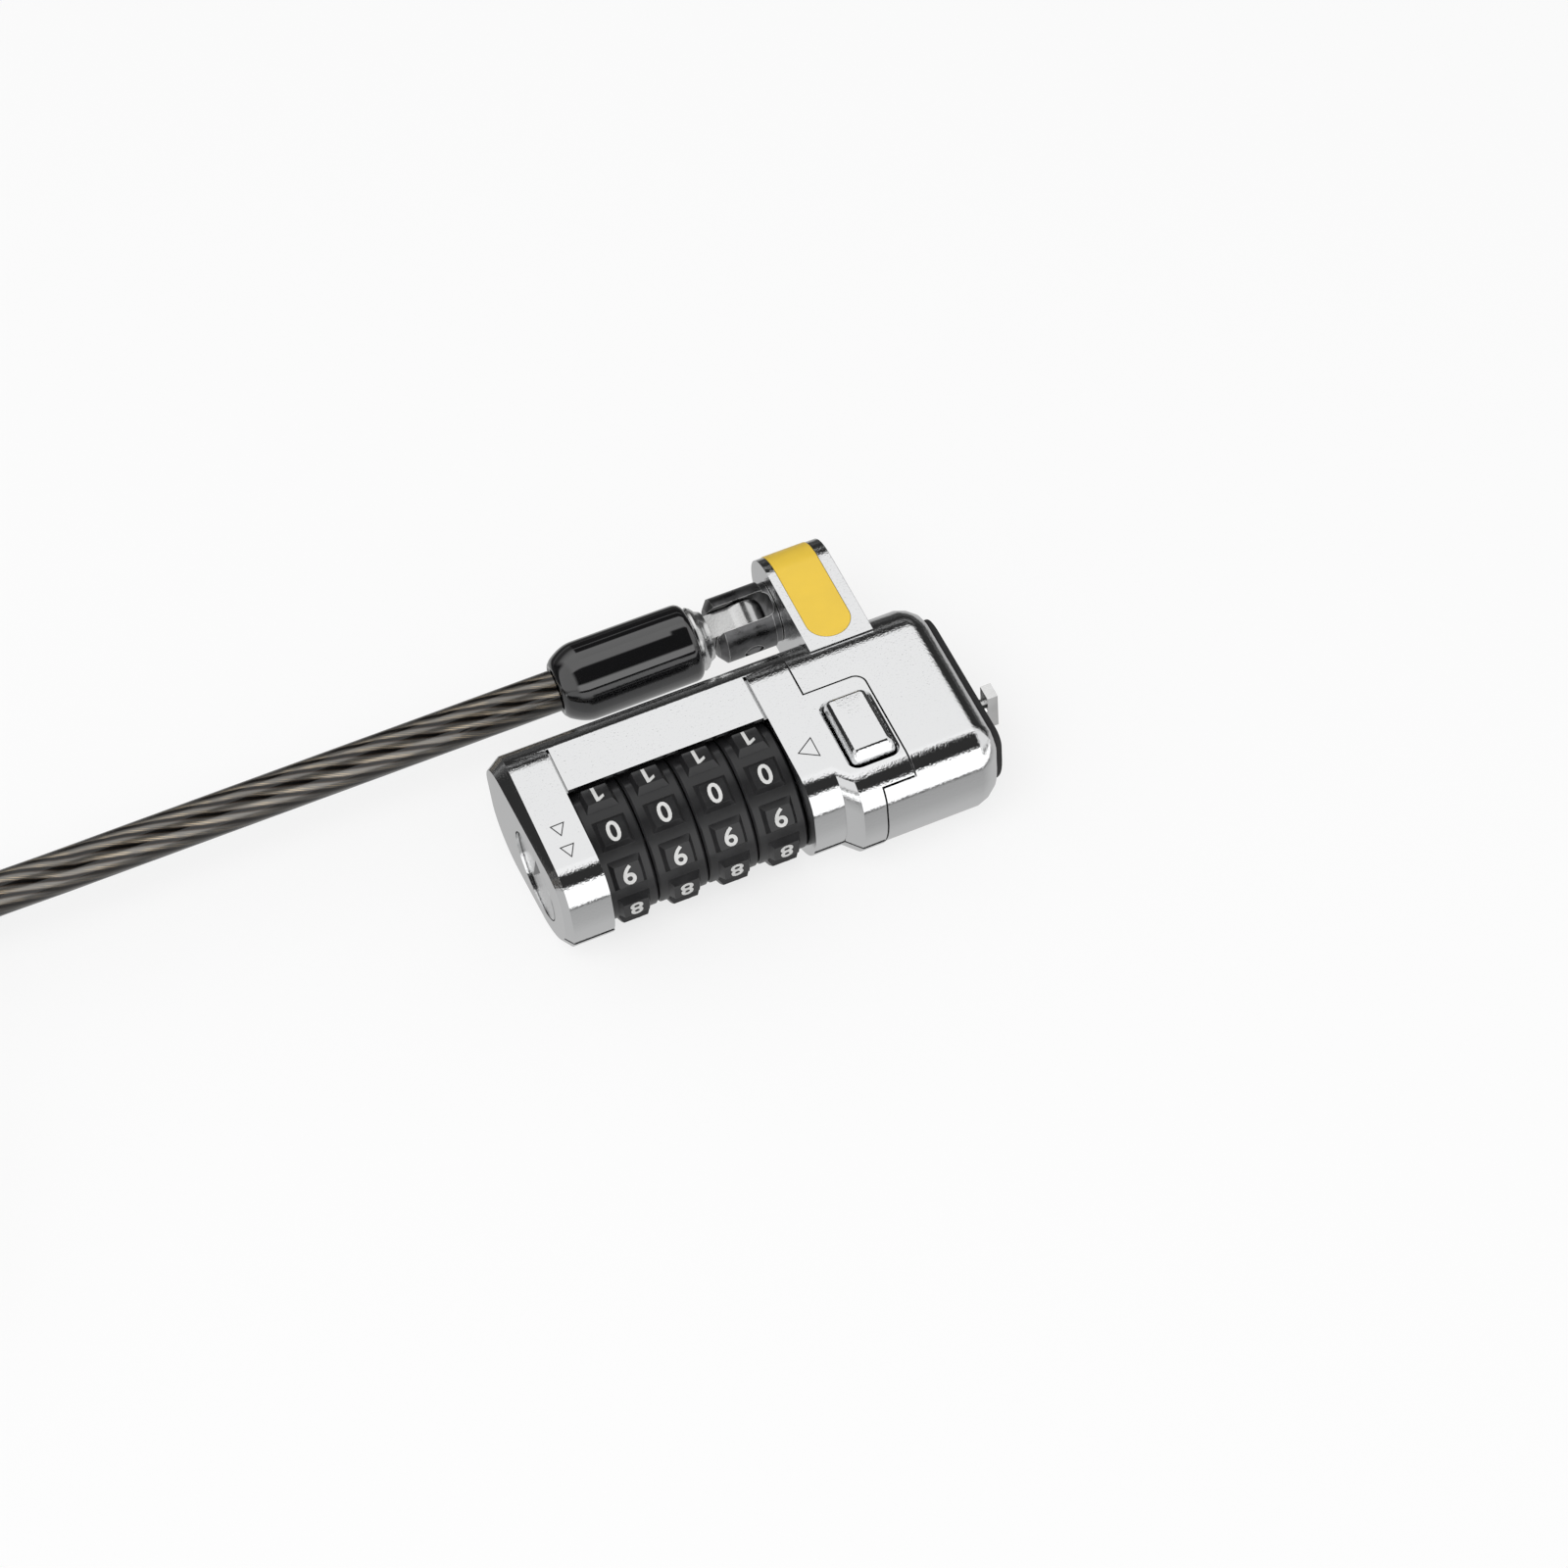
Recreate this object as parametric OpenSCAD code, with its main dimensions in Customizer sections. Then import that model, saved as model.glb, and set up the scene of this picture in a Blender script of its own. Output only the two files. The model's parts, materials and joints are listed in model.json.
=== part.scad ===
// Combination cable lock for a laptop's security slot.
// Millimetres. +X points at the laptop, +Y to the side that carries the cable, +Z up.
// The lock head lies on its flat underside; the origin is under the middle of its box.

/* [Lock head] */
// Distance from one dial to the next
dial_pitch = 7.6; // [7.4:0.1:8.2]
// Radius over the dials' raised number pads
pad_r = 10.6; // [10.2:0.1:10.8]
// Radius of the smooth rims beside the pads
rim_r = 9.6; // [9.0:0.1:9.9]
// Height of the dials' axis above the underside
axis_h = 11.1; // [11.1:0.1:12.5]
// Height of the flat top above the dials' axis
top_h = 11.0; // [11:0.1:12]
// From the dials' axis to the straight back wall
back_y = 18; // [17.6:0.1:18]
// From the dials' axis to the front of the left cap and of the ring beside the dials
slim_front = 12.5; // [12.4:0.1:12.8]
// From the dials' axis to the front of the wide right-hand half
wide_front = 14.8; // [14.6:0.1:15.2]
// From the laptop's side to the left end of the head
head_len = 67.2; // [66:0.2:70]

/* [Release] */
// Size of the release button's top face along X
button_x = 4.8; // [4:0.2:5.2]
// Size of the release button's top face along Y
button_y = 9.4; // [8:0.2:10]
// How far the button stands above the flat top
button_h = 2.0; // [1.8:0.1:2.4]
// How far the button and the latch travel
latch_travel = 1.6; // [1.4:0.1:1.7]

/* [Swivel] */
// From the dials' axis back to the swivel's axis
swivel_y = 27.8; // [27.8:0.2:29]
// Height of the swivel's axis above the dials' axis
swivel_z = 3.1; // [2.8:0.1:3.4]
// Width of the lug along X
lug_w = 9.8; // [9:0.2:10]
// Radius of the slotted swivel head
clevis_r = 4.95; // [4.8:0.05:5.2]
// Angle that the slotted head is turned to the front about the swivel axis
clevis_turn = 20; // [0:1:30]

/* [Cable] */
// Diameter of the cable
cable_d = 6.2; // [5.5:0.1:6.2]
// Outer radius of the soft boot over the end fitting
boot_r = 5.95; // [5.6:0.05:6.2]
// Radius at the folds of the hank's outermost turn, to the cable's middle
hank_r = 30.5; // [30.5:0.1:32]
// Length of the hank's runs between the folds
hank_run = 93; // [93:1:96]
// How far the runs are drawn in at the hank's waist
hank_waist = 12; // [8:0.5:12]
// Step from one turn to the next in a layer
hank_step = 7.4; // [7.4:0.05:7.6]

/* [Hidden] */
$fn = 96;
HULL_FN = 32;
ARC_STEPS = 14;                            // facets in each rounded edge of the castings
SLACK = 0.25;                              // visible seam between castings
RUN_FIT = 0.05;                            // radial clearance of a running fit
DIAL_COUNT = 4;

// Stations along X, counted from the laptop's side face
X_END = -head_len;
X_CAP = X_END + 1.4;                       // where the left end's bevel stops
END_BEVEL = 1.3;
END_SKEW = 2.6;                            // the end face is cast turned back by this angle
X_DIALS = -59.75;
X_RING = X_DIALS + DIAL_COUNT * dial_pitch + 0.05;
X_STEP = -24.6;
X_WIDE = -22.7;
X_SEAM = -19.3;
X_SEAM_BACK = -23.3;
X_TONGUE = -14.3;
X_ROUND = -4.6;                            // where the right end's rounding starts
X_FACE = -1.2;                             // right end of the collar casting
X_PAD = -0.3;
T_BAR_TIP = 3.9;

// Stations across, from the dials' axis
FLOOR_Z = -axis_h;
TONGUE_Y = 5.1;
TONGUE_Z = top_h - 1.6;                    // underside of the tongue
BRIDGE_Y = 4.1;                            // front edge of the bridge behind the dials
PANEL_DEPTH = 0.4;
PANEL_GAP = 0.4;                           // groove at each end of the panel
PANEL_GAP_Y = 12.2;
LIP = 0.15;                                // the lower casting edge stands out by this much
LIP_Z = -3.4;
FRONT_TOP_R = 4.8;
FRONT_LOW_R = 14.2;
BACK_TOP_R = 8.2;
BACK_LOW_R = 8.6;
LUG_X0 = -19.2;
LUG_X1 = LUG_X0 + lug_w;
LUG_Y0 = 12;                               // where the lug's arm starts on the top
LUG_R = top_h - swivel_z;

// Radii and small parts
CAP_BORE_R = 3.3;
DISC_R = 6.75;
DISC_T = 1.7;
SPINDLE_R = 2;
SLEEVE_R = 4.6;
GATE_R = 3.7;
DIAL_GAP = 0.2;
DIAL_CLEAR_R = pad_r + 0.25;
DIAL_START = 25;                           // the number at the index sits this far to the front
ANCHOR_R = 4.75;
ANCHOR_NECK_R = 2.95;
BORE_R = ANCHOR_R + 0.08;
BUSH_R = 6.2;
X_BUSH = -6.9;
X_LATCH = -8.3;                            // middle of the latch's upright
LATCH_T = 1.4;
LATCH_ARM_TOP = 8.9;
LATCH_ARM_BOTTOM = LATCH_ARM_TOP - LATCH_T;
BUTTON_AT = [-18.45, -3.85];
BUTTON_BASE = [button_x + 1.5, button_y + 2];
BUTTON_SHOULDER = [button_x + 1.3, button_y + 1.6];
BUTTON_BEVEL = 0.65;                       // how far the shoulder lies below the top face
WELL_GAP = 0.4;
WELL_LIP = 0.4;                            // chamfer round the button's well
BAND_X = [-17.9, -11.2];
BAND_PROUD = 0.1;
BAND_DEPTH = 0.7;
BAND_TOP_Y = 13.3;                         // where the band starts on the top
BAND_UNDER_Y = 19;                         // where it stops underneath
DOWELS = [[12.6, 5.6], [10.4, -6.2]];
ARM_Y = [-6.9, 1];
ARM_X0 = -21.8;
ROOM_Z = 5.6;                              // floor of the latch arm's room
SPRING_AT = [-16.3, -4.1];
SPRING_Z = 1;
PLATE_HALF = 6.9;
PLATE_BOTTOM = -6.8;
SHAFT_R = 3;
CLIP_R = 4.5;
PIN_AT = -24.0;
PIN_R = 1.5;
CLEVIS_X0 = -28.9;
CLEVIS_X1 = -20.3;
SLOT_HALF = 2.05;
SLOT_END = -19.6;
TONGUE_HALF = 1.85;
TONGUE_TIP = -22.2;                        // middle of the tongue's rounded end, in plan
BOOT_X0 = -53.3;
BOOT_X1 = -31.9;
FERRULE_R = 4.2;
CABLE_R = cable_d / 2;

// The whole frame: the head's box, with the anchor's bar and the lug, is centred on the origin
X_MIN = X_END - (back_y - END_BEVEL) * sin(END_SKEW);
FACE_X = -(X_MIN + T_BAR_TIP) / 2;
AXIS_Y = -(swivel_y + LUG_R + BAND_PROUD - wide_front - LIP) / 2;
SWIVEL = [FACE_X, AXIS_Y + swivel_y, axis_h + swivel_z];

// The cable's route, with y from the swivel's axis. The hank's rings come from hank_point().
function from_swivel(points) = [for (p = points) p + [0, SWIVEL[1], 0]];
HANK_MID = [-204.5, SWIVEL[1] - 22.3];      // middle of the hank on the floor
HANK_Z = 4;                                // the cable's middle in the lower layer, on the strap
HANK_LAYER = 6.65;                         // from the lower layer up to the upper one
RINGS_RUN = 6;
RINGS_FOLD = 6;
RINGS_TURN = 2 * (RINGS_RUN + RINGS_FOLD);
HANK_TOP = 1.5 * RINGS_TURN + RINGS_RUN / 2;   // ring at which the spiral turns back
HANK_RINGS = 2 * HANK_TOP - RINGS_RUN;
WAIST_HALF = 15.5;
STRAP_HALF = 9;
STRAP_T = 0.8;
FERRULE_X = [-219, -197];
RUN = from_swivel([
    [-21.4, 0, 14.2], [-29, 0, 14.2], [-43, 0, 14.2], [-57, 0, 14.2],
    [-71, 0, 14.2], [-85, 0, 14.2], [-98, 0, 14.2], [-105, 0.4, 13.8],
    [-112, 1.6, 12.2], [-119, 3.5, 9.8], [-126, 5.5, 7.2], [-133, 7.1, 5.1],
    [-139, 8, 4.2], [-145, 8.2, 4], [-152, 8.2, 4]
]);
END_LEAD = from_swivel([
    [-164, 6.1, 11.1], [-170, 5.3, 12.5], [-176, 3.9, 14.6], [-182, 2.3, 16.8],
    [-188, 1.4, 18], [-195, 1.2, 18.3], [-204, 1.2, 18.3], [-215, 1.2, 18.3],
    [-226, 1.2, 18.3], [-238, 1.2, 18.3], [-245.3, -0.3, 18.3], [-251.4, -4.4, 18.3],
    [-255.6, -10.5, 18.3], [-257, -17.8, 18.3], [-255.6, -25.1, 18.3], [-251.4, -31.2, 18.3],
    [-245.3, -35.3, 18.3], [-238, -36.8, 18.3], [-228, -36.8, 18.3], [-219, -36.8, 18.3]
]);
END_LOOP = from_swivel([
    [-197, -36.8, 18.3], [-190, -36.8, 18.3], [-182.2, -37.8, 18.3], [-175, -40.8, 18.3],
    [-168.2, -46.2, 18.3], [-162, -50.4, 18.3], [-154.6, -52.1, 18.3], [-147.2, -50.4, 18.3],
    [-141, -46.1, 18.3], [-137.2, -40.1, 18.3], [-136, -33.5, 18.3], [-137.2, -26.9, 18.3],
    [-141, -20.9, 18.3], [-147.2, -16.6, 18.3], [-154.6, -14.9, 18.3], [-162, -16.6, 18.3],
    [-168.2, -20.8, 18.3], [-175, -26.2, 18.3], [-182.2, -29.2, 18.3], [-190, -30.2, 18.3],
    [-197, -30.2, 18.3]
]);

DIALS = [0 : DIAL_COUNT - 1];

// ---- placing -------------------------------------------------------------------------------

// The lock's own place: x from the laptop's side, y and z from the dials' axis
module at_axis() {
    translate([FACE_X, AXIS_Y, axis_h]) children();
}

// The swivel's place: x from the laptop's side, y and z from the swivel's axis
module at_swivel(turn = 0) {
    translate(SWIVEL) rotate([turn, 0, 0]) children();
}

// A flat outline in Y and Z, carried along X from x0 to x1
module along_x(x0, x1) {
    translate([x0, 0, 0]) rotate([90, 0, 90]) linear_extrude(x1 - x0) children();
}

// A rod along X
module rod(x0, x1, r, r2 = undef) {
    translate([x0, 0, 0]) rotate([0, 90, 0])
        cylinder(h = x1 - x0, r1 = r, r2 = is_undef(r2) ? r : r2);
}

// A block between two corners
module block(a, b) {
    translate(a) cube(b - a);
}

// A body turned about the X axis: each point is [x, radius]
module turned_x(points) {
    rotate([90, 0, 90]) rotate_extrude() polygon([for (p = points) [p[1], p[0]]]);
}

// A rounded rectangle, centred
module round_rect(size, r) {
    union() {
        square([size[0] - 2 * r, size[1]], center = true);
        square([size[0], size[1] - 2 * r], center = true);
        for (sx = [-1, 1], sy = [-1, 1])
            translate([sx * (size[0] / 2 - r), sy * (size[1] / 2 - r)]) circle(r);
    }
}

// ---- the lock's outline --------------------------------------------------------------------

// Points of an arc about c, both ends included
function arc(c, r, a0, a1) = [
    for (i = [0 : ARC_STEPS])
        let (a = a0 + (a1 - a0) * i / ARC_STEPS) c + r * [cos(a), sin(a)]
];

// Middle of the wide curve at the lower front
function front_low(front) = [FRONT_LOW_R - front, FRONT_LOW_R - axis_h];

// The angle at which an arc about c passes the height z on its lower front quarter
function at_height(c, r, z) = 180 + asin((c[1] - z) / r);

// Flat top and bottom, a rounded front that runs under in a wide curve, and rounded back edges
module outline(front, inset = 0) {
    polygon(concat(
        arc([FRONT_TOP_R - front, top_h - FRONT_TOP_R], FRONT_TOP_R - inset, 90, 180),
        arc(front_low(front), FRONT_LOW_R - inset, 180, 270),
        arc([back_y - BACK_LOW_R, BACK_LOW_R - axis_h], BACK_LOW_R - inset, 270, 360),
        arc([back_y - BACK_TOP_R, top_h - BACK_TOP_R], BACK_TOP_R - inset, 0, 90)
    ));
}

// Lower front of the left casting, which stands out a little
module lip(front, inset = 0) {
    c = front_low(front);
    r = FRONT_LOW_R - inset + LIP;
    floor_z = inset - axis_h;
    polygon(concat(
        [[0, floor_z], [0, LIP_Z]], arc(c, r, at_height(c, r, LIP_Z), at_height(c, r, floor_z))
    ));
}

// A thin slice of an outline, for a hull
module slice_at(x, turn = 0) {
    translate([x, 0, 0]) rotate([0, 0, turn]) rotate([90, 0, 90]) linear_extrude(0.01) children();
}

// A bevelled or rounded end between two sizes of the outline
module outline_taper(front, xa, inset_a, xb, inset_b) {
    hull() {
        slice_at(xa) outline(front, inset_a);
        slice_at(xb) outline(front, inset_b);
    }
}

// Space of the tongue that carries the button, grown all round by extra
module tongue_space(extra) {
    x0 = -25;
    y0 = -wide_front - 2;
    translate([(x0 + X_TONGUE + extra) / 2, (y0 + TONGUE_Y + extra) / 2, TONGUE_Z - extra])
        linear_extrude(10)
            round_rect([X_TONGUE + extra - x0, TONGUE_Y + extra - y0], 1.6 + extra);
}

// Room for the latch's arm, under the button
module arm_room() {
    block([ARM_X0 - 0.3, ARM_Y[0] - 0.3, ROOM_Z], [X_LATCH, ARM_Y[1] + 0.3, TONGUE_Z]);
}

module button_block(grow, z0, height) {
    translate([BUTTON_AT[0], BUTTON_AT[1], z0]) linear_extrude(height)
        round_rect([BUTTON_BASE[0] + 2 * grow, BUTTON_BASE[1] + 2 * grow], 0.9 + grow);
}

// The button's well, from the latch's room up
module button_well() {
    z0 = LATCH_ARM_TOP - latch_travel - 0.4;
    button_block(WELL_GAP, z0, top_h - z0 + 1);
}

// ---- housing -------------------------------------------------------------------------------

module slim_part() {
    along_x(X_CAP, X_STEP) union() {
        outline(slim_front);
        lip(slim_front);
    }
    hull() {
        slice_at(X_CAP) outline(slim_front);
        slice_at(X_END, END_SKEW) outline(slim_front, END_BEVEL);
    }
    hull() {
        slice_at(X_CAP) lip(slim_front);
        slice_at(X_END, END_SKEW) lip(slim_front, END_BEVEL);
    }
}

module wide_part() {
    hull() {
        slice_at(X_STEP) outline(slim_front);
        slice_at(X_WIDE) outline(wide_front);
    }
    hull() {
        slice_at(X_STEP) lip(slim_front);
        slice_at(X_WIDE) lip(wide_front);
    }
    along_x(X_WIDE, X_SEAM) union() {
        outline(wide_front);
        lip(wide_front);
    }
    intersection() {
        along_x(X_SEAM - 0.5, X_TONGUE) outline(wide_front);
        tongue_space(0);
    }
}

// The left cap, the bridge behind the dials, the ring beside them and the tongue, in one casting
module rear_body() {
    color("silver") at_axis() difference() {
        union() {
            slim_part();
            difference() {
                wide_part();
                block([X_SEAM_BACK, TONGUE_Y, -20], [0, 20, 20]);
            }
        }
        // window for the dials, with the bridge behind them
        block([X_DIALS, -20, -20], [X_RING, BRIDGE_Y, 20]);
        rod(X_DIALS, X_RING, DIAL_CLEAR_R);
        block([X_DIALS, BRIDGE_Y - 1, top_h - PANEL_DEPTH], [X_RING, 20, 20]);
        for (x = [X_DIALS, X_RING - PANEL_GAP])
            block([x, BRIDGE_Y - 1, top_h - 0.9], [x + PANEL_GAP, PANEL_GAP_Y, 20]);
        // reset disc, spindle and spring
        rod(X_END - 1, X_END + DISC_T + 0.1, DISC_R + 0.1);
        rod(X_END, X_DIALS + 1, CAP_BORE_R);
        rod(X_RING - 1, X_SEAM + 1, SPINDLE_R + RUN_FIT);
        rod(X_STEP - 1.9, X_SEAM + 1, 3.4);
        // pocket of the detent spring in the back wall
        block([X_DIALS + 0.6, DIAL_CLEAR_R - 1.5, -3.2], [X_RING - 0.6, 13.3, 3.2]);
        arm_room();
        button_well();
        hull() {
            button_block(WELL_GAP, top_h - WELL_LIP, 0.01, $fn = HULL_FN);
            button_block(WELL_GAP + WELL_LIP, top_h + 0.01, 0.01, $fn = HULL_FN);
        }
        dowel_holes();
    }
}

module dowel_holes() {
    for (p = DOWELS) translate([0, p[0], p[1]]) rod(-29, -15.9, 1.22);
}

module dowel_pins() {
    color("dimgray") at_axis()
        for (p = DOWELS) translate([0, p[0], p[1]]) rod(-28.9, -16, 1.2);
}

// Outline of the lug: an eye about the swivel's axis and the arm that carries it
module lug_outline(grow = 0) {
    translate([swivel_y, swivel_z]) circle(LUG_R + grow);
    translate([LUG_Y0, swivel_z - LUG_R - grow]) square([swivel_y - LUG_Y0, 2 * (LUG_R + grow)]);
}

// The band wraps the lug from its rounded end on the top to the underside
module band_shape(slack, depth, proud) {
    w = BAND_X[1] - BAND_X[0] + 2 * slack;
    difference() {
        intersection() {
            along_x(BAND_X[0] - slack, BAND_X[1] + slack) difference() {
                lug_outline(proud);
                lug_outline(-depth);
            }
            translate([(BAND_X[0] + BAND_X[1]) / 2, BAND_TOP_Y - slack + w / 2, -20])
                linear_extrude(60) union() {
                    circle(w / 2);
                    translate([-w / 2, 0]) square([w, 40]);
                }
        }
        block([-30, 0, -20], [0, BAND_UNDER_Y - slack, swivel_z]);
    }
}

// The right-hand casting: it closes the head, guides the anchor and carries the lug
module front_collar() {
    color("gainsboro") at_axis() difference() {
        union() {
            along_x(X_SEAM + SLACK, X_ROUND) outline(wide_front);
            outline_taper(wide_front, X_ROUND - 0.001, 0, -3.1, 0.5);
            outline_taper(wide_front, -3.1, 0.5, -1.8, 1.5);
            outline_taper(wide_front, -1.8, 1.5, X_FACE - 0.01, 2.6);
            intersection() {
                along_x(X_SEAM_BACK + SLACK, X_SEAM + 1) outline(slim_front);
                block([-30, TONGUE_Y + SLACK, -20], [0, 20, 20]);
            }
            along_x(LUG_X0, LUG_X1) lug_outline();
        }
        tongue_space(SLACK);
        band_shape(0.03, BAND_DEPTH + 0.03, 5);
        // swivel shaft, with a counterbore for its clip
        translate([0, swivel_y, swivel_z]) {
            rod(LUG_X0 - 1, LUG_X1 + 1, SHAFT_R + RUN_FIT);
            rod(LUG_X1 - 2, LUG_X1 + 1, CLIP_R + 0.4);
        }
        // anchor, bush, latch, spring and spindle
        rod(-13, 1, BORE_R);
        rod(X_BUSH, 1, BUSH_R);
        block([X_LATCH - 1, -PLATE_HALF - 0.3, PLATE_BOTTOM - latch_travel - 0.3],
            [X_LATCH + 1, PLATE_HALF + 0.3, TONGUE_Z + 0.3]);
        arm_room();
        button_well();
        translate([SPRING_AT[0], SPRING_AT[1], SPRING_Z]) cylinder(h = 5, r = 1.75);
        rod(X_SEAM - 1, X_SEAM + 0.7, 3.4);
        dowel_holes();
    }
}

module lug_band() {
    color("gold") at_axis() band_shape(0, BAND_DEPTH, BAND_PROUD);
}

module face_pad() {
    color([0.1, 0.1, 0.1]) at_axis() difference() {
        along_x(X_FACE, X_PAD) outline(wide_front, 2.8);
        rod(-2, 1, BUSH_R + 0.1);
    }
}

module guide_bush() {
    color("goldenrod") at_axis() difference() {
        rod(X_BUSH, X_FACE, BUSH_R);
        rod(-10, 1, BORE_R);
    }
}

// ---- combination -----------------------------------------------------------------------------

function dial_mid(i) = X_DIALS + 0.03 + dial_pitch * (i + 0.5);

// Ten teeth: each is a pad with a flat top and sloping ends
function pad_ring(n) = [
    for (k = [0 : n - 1], p = [[-0.4, rim_r - 0.2], [-0.25, pad_r], [0.25, pad_r], [0.4, rim_r - 0.2]])
        let (a = DIAL_START + 360 / n * (k + p[0])) [-p[1] * sin(a), p[1] * cos(a)]
];

module dial(i) {
    half = (dial_pitch - DIAL_GAP) / 2;
    bore = SLEEVE_R + RUN_FIT;
    color([0.13, 0.13, 0.14]) at_axis() translate([dial_mid(i), 0, 0]) difference() {
        union() {
            turned_x([
                [-half, bore], [-half, rim_r - 0.3], [-half + 0.3, rim_r], [half - 0.3, rim_r],
                [half, rim_r - 0.3], [half, bore]
            ]);
            intersection() {
                along_x(-half, half) polygon(pad_ring(10));
                turned_x([
                    [-2.5, 5], [-2.5, rim_r - 0.2], [-1.75, pad_r + 0.1],
                    [1.75, pad_r + 0.1], [2.5, rim_r - 0.2], [2.5, 5]
                ]);
            }
        }
        // keyways for the clutch sleeve
        for (a = [0, 180]) rotate([a, 0, 0]) block([-10, -1.05, 4], [10, 1.05, 6.1]);
    }
}

// Turns with its dial on the spindle; its gate lets the spindle's fin pass at one number only
module clutch_sleeve(i) {
    x0 = -dial_pitch / 2 + 0.1;
    color("goldenrod") at_axis() translate([dial_mid(i), 0, 0]) difference() {
        union() {
            rod(x0, x0 + 5.4, SLEEVE_R);
            for (a = [0, 180]) rotate([a, 0, 0]) block([x0 + 0.6, -1, 3], [x0 + 4.6, 1, 5.9]);
        }
        rod(-10, 10, SPINDLE_R + RUN_FIT);
        block([-10, -0.7, -GATE_R], [10, 0.7, 0]);
    }
}

module spindle() {
    color("lightgray") at_axis() {
        rod(X_END + 2.5, X_SEAM - 1, SPINDLE_R);
        rod(X_SEAM - 1, X_SEAM - 0.4, SPINDLE_R, SPINDLE_R - 0.6);
        for (i = DIALS)
            translate([dial_mid(i) + dial_pitch / 2 - 1.55, 0, 0]) block([0, -0.5, -3.5], [0.9, 0.5, 0]);
    }
}

module spindle_spring() {
    color("gray") at_axis() difference() {
        rod(X_STEP - 1.8, X_STEP + 3.2, 3.2);
        rod(X_STEP - 2, X_STEP + 4, 2.3);
    }
}

module reset_disc() {
    color("silver") at_axis() difference() {
        union() {
            rod(X_END + 0.6, X_END + DISC_T, DISC_R);
            rod(X_END + 0.3, X_END + 0.6, DISC_R - 0.3, DISC_R);
            rod(X_END + DISC_T, X_DIALS - 0.4, CAP_BORE_R - RUN_FIT);
        }
        rod(X_END + 2.4, 0, SPINDLE_R + RUN_FIT);
        // pointer mark
        along_x(X_END - 1, X_END + 0.6) polygon([[-1.6, 5.7], [-3.3, 4.7], [2.4, -3.1]]);
    }
}

// A leaf with one sprung bump for each dial, lifted just clear of the pads
module detent_spring() {
    color("lightsteelblue") at_axis() {
        block([X_DIALS + 0.8, 12.6, -2.9], [X_RING - 0.8, 13.1, 2.9]);
        for (i = DIALS) translate([dial_mid(i), 12.62, 0]) difference() {
            rod(-1.6, 1.6, 1.75);
            block([-3, 0, -3], [3, 3, 3]);
            rod(-4, 4, 1.3);
        }
    }
}

// ---- release ---------------------------------------------------------------------------------

module release_button() {
    color("whitesmoke") at_axis() {
        button_block(0, LATCH_ARM_TOP, top_h + 0.5 - LATCH_ARM_TOP);
        hull() {
            button_block(0, top_h + 0.49, 0.01, $fn = HULL_FN);
            translate([BUTTON_AT[0], BUTTON_AT[1], top_h + button_h - BUTTON_BEVEL]) linear_extrude(0.01)
                round_rect(BUTTON_SHOULDER, 0.7, $fn = HULL_FN);
            translate([BUTTON_AT[0], BUTTON_AT[1], top_h + button_h - 0.01]) linear_extrude(0.01)
                round_rect([button_x, button_y], 0.4, $fn = HULL_FN);
        }
    }
}

// An upright with an eccentric hole that hooks the anchor's groove, and an arm under the button
module latch_plate() {
    color("slategray") at_axis() difference() {
        union() {
            block([X_LATCH - LATCH_T / 2, -PLATE_HALF, PLATE_BOTTOM],
                [X_LATCH + LATCH_T / 2, PLATE_HALF, LATCH_ARM_TOP]);
            block([ARM_X0, ARM_Y[0], LATCH_ARM_BOTTOM], [X_LATCH, ARM_Y[1], LATCH_ARM_TOP]);
        }
        translate([0, 0, latch_travel]) rod(-12, -4, BORE_R);
    }
}

module button_spring() {
    color("gray") at_axis() translate([SPRING_AT[0], SPRING_AT[1], SPRING_Z]) difference() {
        cylinder(h = LATCH_ARM_BOTTOM - SPRING_Z, r = 1.5);
        translate([0, 0, -1]) cylinder(h = 10, r = 0.9);
    }
}

// ---- anchor ----------------------------------------------------------------------------------

module anchor_stud() {
    color("silver") at_axis() {
        turned_x([
            [-12.4, 0], [-12.4, 2.6], [-11.2, ANCHOR_R], [X_LATCH - 0.9, ANCHOR_R],
            [X_LATCH - 0.9, ANCHOR_NECK_R], [X_LATCH + 0.9, ANCHOR_NECK_R],
            [X_LATCH + 0.9, ANCHOR_R], [-0.8, ANCHOR_R], [-0.8, 1.35], [2.4, 1.35], [2.4, 0]
        ]);
        block([2.3, -1.3, -3.3], [T_BAR_TIP, 1.3, 3.3]);
    }
}

module anchor_washer() {
    color([0.15, 0.15, 0.15]) at_axis() difference() {
        rod(-0.8, 0, 4.6);
        rod(-1, 1, 1.4);
    }
}

// ---- swivel ----------------------------------------------------------------------------------

module swivel_clevis() {
    color("slategray") at_swivel(clevis_turn) difference() {
        turned_x([
            [CLEVIS_X0, 0], [CLEVIS_X0, clevis_r - 1.2], [CLEVIS_X0 + 1, clevis_r],
            [CLEVIS_X1, clevis_r], [CLEVIS_X1, clevis_r - 0.4], [LUG_X0 - 0.1, clevis_r - 0.4],
            [LUG_X0 - 0.1, SHAFT_R], [LUG_X1 - 0.4, SHAFT_R], [LUG_X1 - 0.4, 0]
        ]);
        translate([(CLEVIS_X0 - 3 + SLOT_END) / 2, 0, -10]) linear_extrude(20)
            round_rect([SLOT_END - CLEVIS_X0 + 3, 2 * SLOT_HALF], 1.4);
        translate([PIN_AT, 0, 0]) rotate([90, 0, 0]) cylinder(h = 20, r = PIN_R + 0.02, center = true);
        // groove of the clip
        difference() {
            rod(LUG_X1 - 1.65, LUG_X1 - 0.95, 4);
            rod(LUG_X1 - 2, LUG_X1, 2.5);
        }
    }
}

module swivel_clip() {
    color("gray") at_swivel() difference() {
        rod(LUG_X1 - 1.6, LUG_X1 - 1, CLIP_R);
        rod(LUG_X1 - 2, LUG_X1, 2.52);
    }
}

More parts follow.
